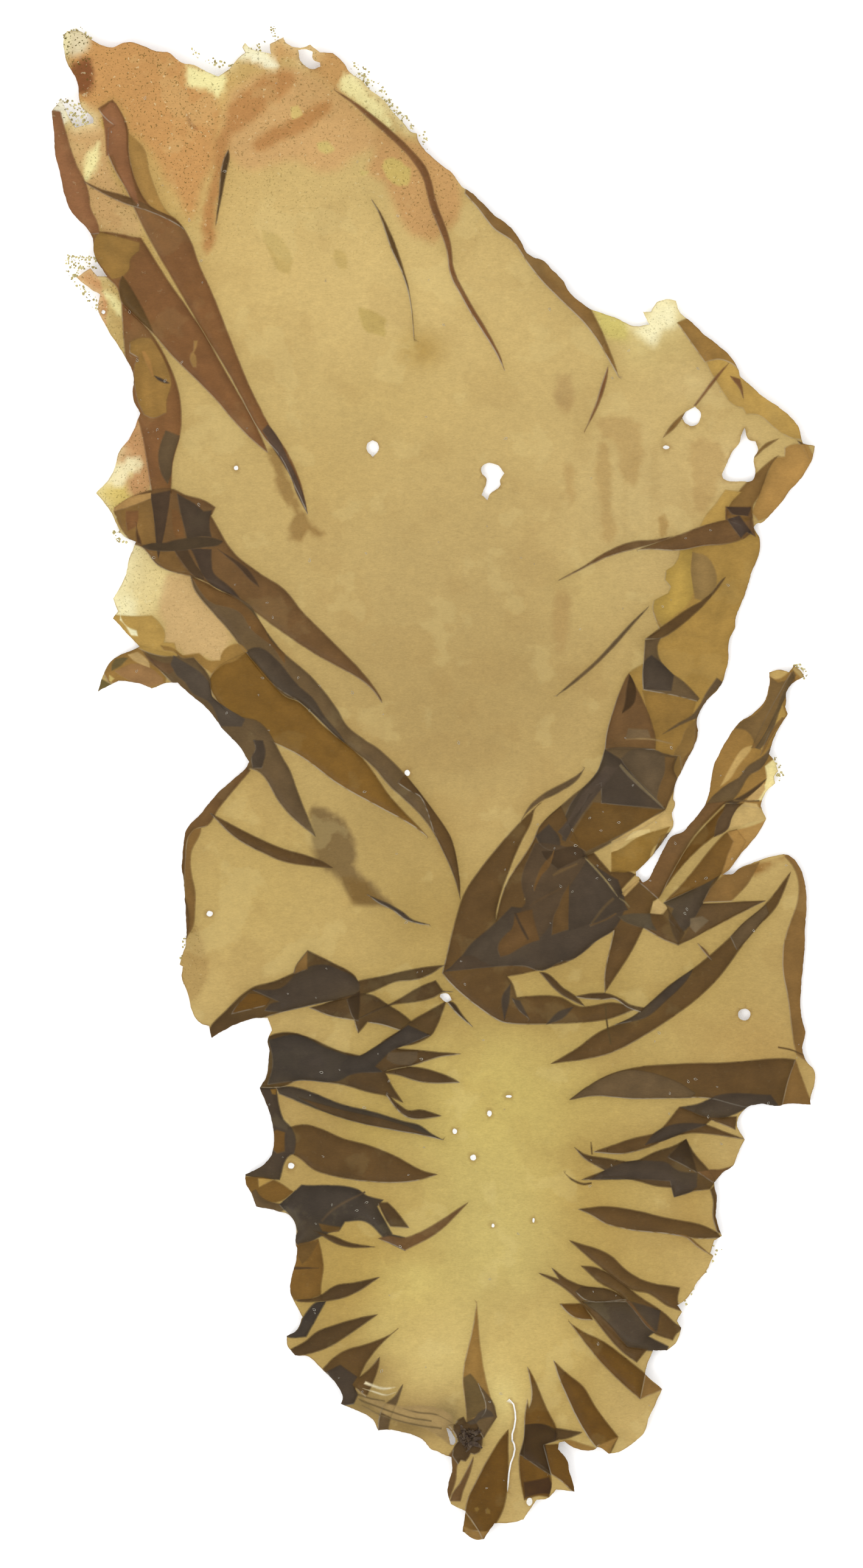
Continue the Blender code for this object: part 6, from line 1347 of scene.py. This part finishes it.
def skin_material():
    """The dried blade: painted tones under its grain, painted shade in its creases and a painted silvery
    highlight on a fold's lit edge.
    """
    material = bpy.data.materials.new("dried_blade")
    material.use_nodes = True
    tree = material.node_tree
    shader = tree.nodes["Principled BSDF"]
    shader.inputs["Roughness"].default_value = 0.55
    shader.inputs["Specular IOR Level"].default_value = 0.14
    shader.inputs["Coat Weight"].default_value = 0.04
    shader.inputs["Coat Roughness"].default_value = 0.35
    grained = add(tree, "ShaderNodeGroup", {"node_tree": grain})
    masks = {name: add(tree, "ShaderNodeAttribute", {"attribute_name": name}).outputs
             for name in ("tone", "crease", "glint", "fray", "stain")}
    place = add(tree, "ShaderNodeTexCoord").outputs["Object"]
    creased = add(tree, "ShaderNodeMapRange", None,
                  {"Value": masks["crease"]["Fac"], "To Min": 1.0, "To Max": CREASE_LIGHT})
    stains = add(tree, "ShaderNodeGroup", {"node_tree": water_marks}).outputs
    folded = add(tree, "ShaderNodeMath", {"operation": "SUBTRACT"},
                 {0: 1.0, 1: masks["stain"]["Fac"]}).outputs[0]
    uneven = times(tree, noise(tree, place, 260.0, 6.0, -FOLD_UNEVEN, FOLD_UNEVEN), folded)
    light = times(tree, times(tree, grained.outputs["Lightness"], creased.outputs["Result"]),
                  plus(tree, 1.0, uneven))
    base = add(tree, "ShaderNodeVectorMath", {"operation": "SCALE"},
               {0: masks["tone"]["Color"], "Scale": light}).outputs["Vector"]
    dark_marks = times(tree, times(tree, stains["Dark"], masks["stain"]["Fac"]), MARK_SHARE)
    light_marks = times(tree, times(tree, stains["Light"], masks["stain"]["Fac"]), CLEAR_SHARE)
    specks = times(tree, noise(tree, place, 3300.0, 2.0, 0.0, 1.0, 0.60, 0.66), masks["fray"]["Fac"])
    flecks = times(tree, noise(tree, place, 1500.0, 4.0, 0.0, 0.5, 0.66, 0.70), masks["fray"]["Fac"])
    glints = times(tree, masks["glint"]["Fac"], GLINT_SHARE)
    for share, colour in ((dark_marks, MARK_TONE), (light_marks, CLEAR_TONE), (specks, SPECK_TONE),
                          (flecks, FLECK_TONE), (glints, GLINT_TONE)):
        mix = add(tree, "ShaderNodeMix", {"data_type": "RGBA"})
        tree.links.new(share, mix.inputs[0])
        tree.links.new(base, mix.inputs[6])
        mix.inputs[7].default_value = shade(colour)
        base = mix.outputs[2]
    tree.links.new(base, shader.inputs["Base Color"])
    tree.links.new(grained.outputs["Normal"], shader.inputs["Normal"])
    return material


skin = plain_mesh("blade_skin", corners, faces, skin_material())
skin_mesh = skin.data
tone_layer = skin_mesh.color_attributes.new("tone", "FLOAT_COLOR", "POINT")
tones = albedo(np.concatenate([top_tones, under_tones]))
tone_layer.data.foreach_set("color", np.column_stack([tones, np.ones(len(tones))]).ravel())
for name, values in (("crease", np.concatenate([top_crease, under_crease])),
                     ("glint", np.concatenate([top_glint, np.zeros(len(under))])),
                     ("fray", np.concatenate([top_fray, under_fray])),
                     ("stain", np.concatenate([top_stain, under_stain]))):
    layer = skin_mesh.attributes.new(name, "FLOAT", "POINT")
    layer.data.foreach_set("value", values)
skin_mesh.shade_smooth()
skin_mesh.set_sharp_from_angle(angle=radians(50))
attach(skin, "root")
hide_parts("blade")

# What repeats is strewn by one tree of Geometry Nodes: crumbs of blade along the margins that fell to
# grains as they dried, and a few pale hairs that lie on the skin.


def strewn_tree():
    """A copy of a small piece on each given point, turned and sized by chance from a fixed seed."""
    tree = bpy.data.node_groups.new("strewn", "GeometryNodeTree")
    for name, kind in (("Points", "Geometry"), ("Piece", "Object"), ("Seed", "Int"),
                       ("Smallest", "Float"), ("Largest", "Float"), ("Tilt", "Float"),
                       ("Finish", "Material")):
        tree.interface.new_socket(name, in_out="INPUT", socket_type="NodeSocket" + kind)
    tree.interface.new_socket("Strewn", in_out="OUTPUT", socket_type="NodeSocketGeometry")
    given = tree.nodes.new("NodeGroupInput").outputs
    points = add(tree, "GeometryNodeMeshToPoints", None, {"Mesh": given["Points"]})
    piece = add(tree, "GeometryNodeObjectInfo", None, {"Object": given["Piece"]})
    least = add(tree, "ShaderNodeCombineXYZ", None, {"X": times(tree, given["Tilt"], -1.0),
                                                     "Y": times(tree, given["Tilt"], -1.0), "Z": 0.0})
    most = add(tree, "ShaderNodeCombineXYZ", None, {"X": given["Tilt"], "Y": given["Tilt"], "Z": 2 * pi})
    turn = tree.nodes.new("FunctionNodeRandomValue")
    turn.data_type = "FLOAT_VECTOR"
    tree.links.new(least.outputs[0], turn.inputs[0])
    tree.links.new(most.outputs[0], turn.inputs[1])
    tree.links.new(given["Seed"], turn.inputs["Seed"])
    size = tree.nodes.new("FunctionNodeRandomValue")
    size.data_type = "FLOAT"
    tree.links.new(given["Smallest"], size.inputs[2])
    tree.links.new(given["Largest"], size.inputs[3])
    tree.links.new(given["Seed"], size.inputs["Seed"])
    copies = add(tree, "GeometryNodeInstanceOnPoints", None,
                 {"Points": points.outputs["Points"], "Instance": piece.outputs["Geometry"],
                  "Rotation": turn.outputs[0], "Scale": size.outputs[1]})
    real = add(tree, "GeometryNodeRealizeInstances", None, {"Geometry": copies.outputs["Instances"]})
    finish = add(tree, "GeometryNodeSetMaterial", None,
                 {"Geometry": real.outputs["Geometry"], "Material": given["Finish"]})
    outside = tree.nodes.new("NodeGroupOutput")
    tree.links.new(finish.outputs["Geometry"], outside.inputs["Strewn"])
    return tree


strewn = strewn_tree()


def strew(name, points, piece, seed, sizes, tilt, material):
    """One mesh object of copies of a piece on points given in metres."""
    spread = plain_mesh(name, [tuple(point) for point in points], [], material)
    modifier = spread.modifiers.new("strewn", "NODES")
    modifier.node_group = strewn
    values = {"Piece": piece, "Seed": seed, "Smallest": sizes[0], "Largest": sizes[1], "Tilt": tilt,
              "Finish": material}
    for socket in strewn.interface.items_tree:
        if socket.in_out == "INPUT" and socket.name in values:
            modifier[socket.identifier] = values[socket.name]
    made = bpy.data.meshes.new_from_object(spread.evaluated_get(bpy.context.evaluated_depsgraph_get()))
    spread.modifiers.clear()
    spread.data = made
    bpy.data.objects.remove(piece)
    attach(spread, "root")
    return spread


def grained_material(name, dark, light, scale, roughness):
    """A finish between two tones that change from place to place, with the grain of the film."""
    material = bpy.data.materials.new(name)
    material.use_nodes = True
    tree = material.node_tree
    shader = tree.nodes["Principled BSDF"]
    shader.inputs["Roughness"].default_value = roughness
    shader.inputs["Specular IOR Level"].default_value = 0.25
    grained = add(tree, "ShaderNodeGroup", {"node_tree": grain})
    place = add(tree, "ShaderNodeTexCoord").outputs["Object"]
    mix = add(tree, "ShaderNodeMix", {"data_type": "RGBA"})
    tree.links.new(noise(tree, place, scale, 3.0), mix.inputs[0])
    mix.inputs[6].default_value = shade(dark)
    mix.inputs[7].default_value = shade(light)
    lit = add(tree, "ShaderNodeVectorMath", {"operation": "SCALE"},
              {0: mix.outputs[2], "Scale": grained.outputs["Lightness"]})
    tree.links.new(lit.outputs["Vector"], shader.inputs["Base Color"])
    tree.links.new(grained.outputs["Normal"], shader.inputs["Normal"])
    return material


def in_frame(places, height):
    """Drawn places and a height above the underside, in millimetres, as points in metres."""
    return np.column_stack([places - DRAWN_MIDDLE, lift(places) + height]) * MM


def places_in(points, count, seed):
    """A number of places inside a drawn loop."""
    loop = np.array(points, dtype=float)
    dice = np.random.default_rng(seed)
    tries = dice.uniform(loop.min(axis=0), loop.max(axis=0), (count * 6, 2))
    return tries[inside(loop, np.roll(loop, -1, axis=0), tries)][:count]


# The crumbs: where the margin is most frayed the blade fell to grains as it dried, and they stuck beside
# it. Each stretch gives how many lie there and the loop that they lie in, in millimetres.
FRINGES = [
    (150, [(1.6, 226), (4.6, 227), (6.2, 225), (5.9, 221), (3.2, 221), (1.9, 223.7)]),
    (90, [(-0.1, 214.6), (1.4, 216.5), (3.2, 215.9), (5.5, 214.8), (6.2, 213.2), (4.6, 212.1),
     (2.6, 211.8), (1.9, 213.5), (0.7, 214.8)]),
    (110, [(2.1, 192.9), (6.5, 192.5), (7, 190.6), (4.4, 190.5), (3.9, 188.6), (5.3, 187.6),
     (7.2, 186.2), (7.3, 184.1), (6.2, 184.6), (4.4, 187.2), (3, 188.7), (2.1, 190.5)]),
    (150, [(44.7, 222.2), (46.7, 221.2), (49.2, 218.7), (51.6, 215.2), (54.7, 212.3), (56.4, 211.2),
     (56.6, 208.3), (55.2, 208.4), (53.2, 210.8), (51.3, 212.4), (50, 214.1), (48.1, 216.5),
     (46.2, 218.8), (44.9, 220.2)]),
    (14, [(32.4, 227.6), (33.2, 227.4), (34.8, 224.7), (33.7, 224.3)]),
    (60, [(20.5, 224), (26, 221.6), (28.5, 221.6), (29, 223.6), (32.5, 225.4), (32, 224),
     (29.2, 221.2), (26, 220.4), (21, 222.6)]),
    (22, [(8.8, 151.4), (10.2, 151.3), (11.4, 149.6), (10.4, 149.4), (9.2, 150.2)]),
    (26, [(19.7, 90.6), (20.3, 90.4), (19.7, 87), (20.2, 83.6), (21.6, 81), (21.3, 80.5),
     (19.8, 83.2), (19.3, 87)]),
    (26, [(106.5, 116.9), (108.9, 117.6), (110, 114.8), (109, 112.6), (108.6, 115.4)]),
    (18, [(109.6, 131.6), (112.8, 131.4), (113.6, 129.2), (112.9, 129), (112.2, 130.8)]),
    (26, [(99.4, 44.6), (100.6, 43.6), (98.4, 40.2), (96.6, 37), (95, 35), (94.4, 35.6), (96.6, 39.4)]),
]
CRUMB_SIDES = 7
CRUMB_REACH = (0.42, 0.50, 0.36, 0.47, 0.38, 0.50, 0.40)
CRUMB_RINGS = ((0.55, -0.12), (1.0, 0.0), (0.6, 0.12))
CRUMB_HEIGHT = 0.30
CRUMB_SIZES = (0.16 * MM, 0.52 * MM)
CRUMB_TILT = 0.5
CRUMB_SEED = 300
CRUMB_TURNS = 11


def crumb():
    """One crumb: a flat seven-sided scrap a millimetre across, drawn in to its upper and lower face."""
    turns = [2 * pi * step / CRUMB_SIDES for step in range(CRUMB_SIDES)]
    verts = [(r * share * cos(turn), r * share * sin(turn), height)
             for share, height in CRUMB_RINGS for r, turn in zip(CRUMB_REACH, turns)]
    around = range(CRUMB_SIDES)
    sides = [(ring * CRUMB_SIDES + a, ring * CRUMB_SIDES + (a + 1) % CRUMB_SIDES,
              (ring + 1) * CRUMB_SIDES + (a + 1) % CRUMB_SIDES, (ring + 1) * CRUMB_SIDES + a)
             for ring in (0, 1) for a in around]
    return verts, sides + [tuple(reversed(around)), tuple(2 * CRUMB_SIDES + a for a in around)]


crumb_finish = grained_material("crumbled_margin", (150, 134, 84), (232, 220, 160), 900.0, 0.7)
crumb_places = np.concatenate([places_in(points, count, CRUMB_SEED + seed)
                               for seed, (count, points) in enumerate(FRINGES)])
crumb_rows = in_frame(crumb_places, CRUMB_HEIGHT)
strew("margin_crumbs", crumb_rows, plain_mesh("crumb", *crumb(), crumb_finish), CRUMB_TURNS,
      CRUMB_SIZES, CRUMB_TILT, crumb_finish)

# The hairs: short, pale, curled threads of other weed or loose fibre that dried onto the skin, most of
# them on the dark pleats. Nothing but the dried film holds them.
HAIR_COUNT = 170
HAIR_STEPS = 7
HAIR_HALF = 0.028
HAIR_BEND = 3.6
HAIR_CURL = 0.30
HAIR_DRIFT = 0.14
HAIR_SIZES = (0.5 * MM, 1.3 * MM)
HAIR_TRIES = 6000
HAIR_SEED = 71
HAIR_TURNS = 13
HAIR_TILT = 0.08
HAIR_GAP = 0.02
ON_A_PLEAT = 0.2
PLEAT_DRAW = 0.28


def hair():
    """One hair: a flat three-sided thread a millimetre long, bent into an open curl."""
    verts, sides = [], []
    for step in range(HAIR_STEPS + 1):
        turn = HAIR_BEND * step / HAIR_STEPS
        middle = (HAIR_CURL * cos(turn) + HAIR_DRIFT * turn, HAIR_CURL * sin(turn))
        for corner in range(3):
            angle = 2 * pi * corner / 3
            out = HAIR_HALF * cos(angle)
            verts.append((middle[0] + out * cos(turn), middle[1] + out * sin(turn),
                          HAIR_HALF * sin(angle)))
    for step in range(HAIR_STEPS):
        for corner in range(3):
            a, b = 3 * step + corner, 3 * step + (corner + 1) % 3
            sides.append((a, b, b + 3, a + 3))
    last = 3 * HAIR_STEPS
    return verts, sides + [(2, 1, 0), (last, last + 1, last + 2)]


hair_finish = grained_material("pale_hair", (176, 168, 150), (222, 216, 202), 700.0, 0.45)
dice = np.random.default_rng(HAIR_SEED)
tries = dice.uniform(margin.min(axis=0), margin.max(axis=0), (HAIR_TRIES, 2))
tries = tries[inside(margin, np.roll(margin, -1, axis=0), tries)]
hair_height = looks(tries)[1]
draws = dice.random(len(tries)) * np.where(hair_height > ON_A_PLEAT, PLEAT_DRAW, 1.0)
chosen = np.argsort(draws)[:HAIR_COUNT]
hair_rows = in_frame(tries[chosen], SKIN_THICKNESS + HAIR_GAP) + np.column_stack(
    [np.zeros((HAIR_COUNT, 2)), hair_height[chosen]]) * MM
strew("stray_hairs", hair_rows, plain_mesh("hair", *hair(), hair_finish), HAIR_TURNS,
      HAIR_SIZES, HAIR_TILT, hair_finish)

# The holdfast at the foot: a wad of short crumpled strips that gripped the rock, dried almost black, with
# their ends fanned out and paler in patches.
TUFT_MIDDLE = np.array([62.6, 15.2])
TUFT_STRIPS = 20
STRIP_STEPS = 14
STRIP_THICKNESS = 0.10
STRIP_SPREAD = 1.0
STRIP_LENGTHS = (1.6, 3.0)
STRIP_WIDTHS = (0.35, 0.75)
STRIP_CURL = 0.9
STRIP_WAVES = (1.5, 3.5)
STRIP_SWELLS = (0.10, 0.24)
TUFT_FOOT = 0.66
TUFT_STEP = 0.03
TUFT_SEED = 23


def tuft():
    """The strips of the wad, each closed all round, in metres."""
    dice = np.random.default_rng(TUFT_SEED)
    verts, sides = [], []
    for strip in range(TUFT_STRIPS):
        heading = 2 * pi * strip / TUFT_STRIPS + dice.uniform(-0.3, 0.3)
        start = TUFT_MIDDLE + dice.uniform(-STRIP_SPREAD, STRIP_SPREAD, 2)
        length, width = dice.uniform(*STRIP_LENGTHS), dice.uniform(*STRIP_WIDTHS)
        curl = dice.uniform(-STRIP_CURL, STRIP_CURL)
        waves, swell = dice.uniform(*STRIP_WAVES), dice.uniform(*STRIP_SWELLS)
        base = TUFT_FOOT + TUFT_STEP * strip
        first = len(verts)
        for step in range(STRIP_STEPS + 1):
            share = step / STRIP_STEPS
            turn = heading + curl * share
            along = np.array([cos(turn), sin(turn)])
            across = np.array([-along[1], along[0]])
            middle = start + along * length * (share - 0.35)
            half = width / 2 * (0.35 + sin(pi * min(1.0, share + 0.12)) * 0.75)
            rise = base + swell * (1 + sin(2 * pi * waves * share + strip)) * (1.1 - share)
            for side, up in ((-1, 0), (1, 0), (1, 1), (-1, 1)):
                place = middle + across * half * side
                tip = rise + 0.12 * side * sin(2 * pi * (waves * share + 0.3)) + up * STRIP_THICKNESS
                verts.append(tuple(in_frame(place[None], tip)[0]))
        for step in range(STRIP_STEPS):
            for corner in range(4):
                a = first + 4 * step + corner
                b = first + 4 * step + (corner + 1) % 4
                sides.append((a, b, b + 4, a + 4))
        last = first + 4 * STRIP_STEPS
        sides += [(first + 3, first + 2, first + 1, first), (last, last + 1, last + 2, last + 3)]
    return verts, sides


tuft_finish = grained_material("dried_holdfast", (58, 46, 38), (104, 88, 70), 1400.0, 0.5)
holdfast = plain_mesh("holdfast_tuft", *tuft(), tuft_finish)
holdfast.data.shade_smooth()
holdfast.data.set_sharp_from_angle(angle=radians(55))
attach(holdfast, "root")
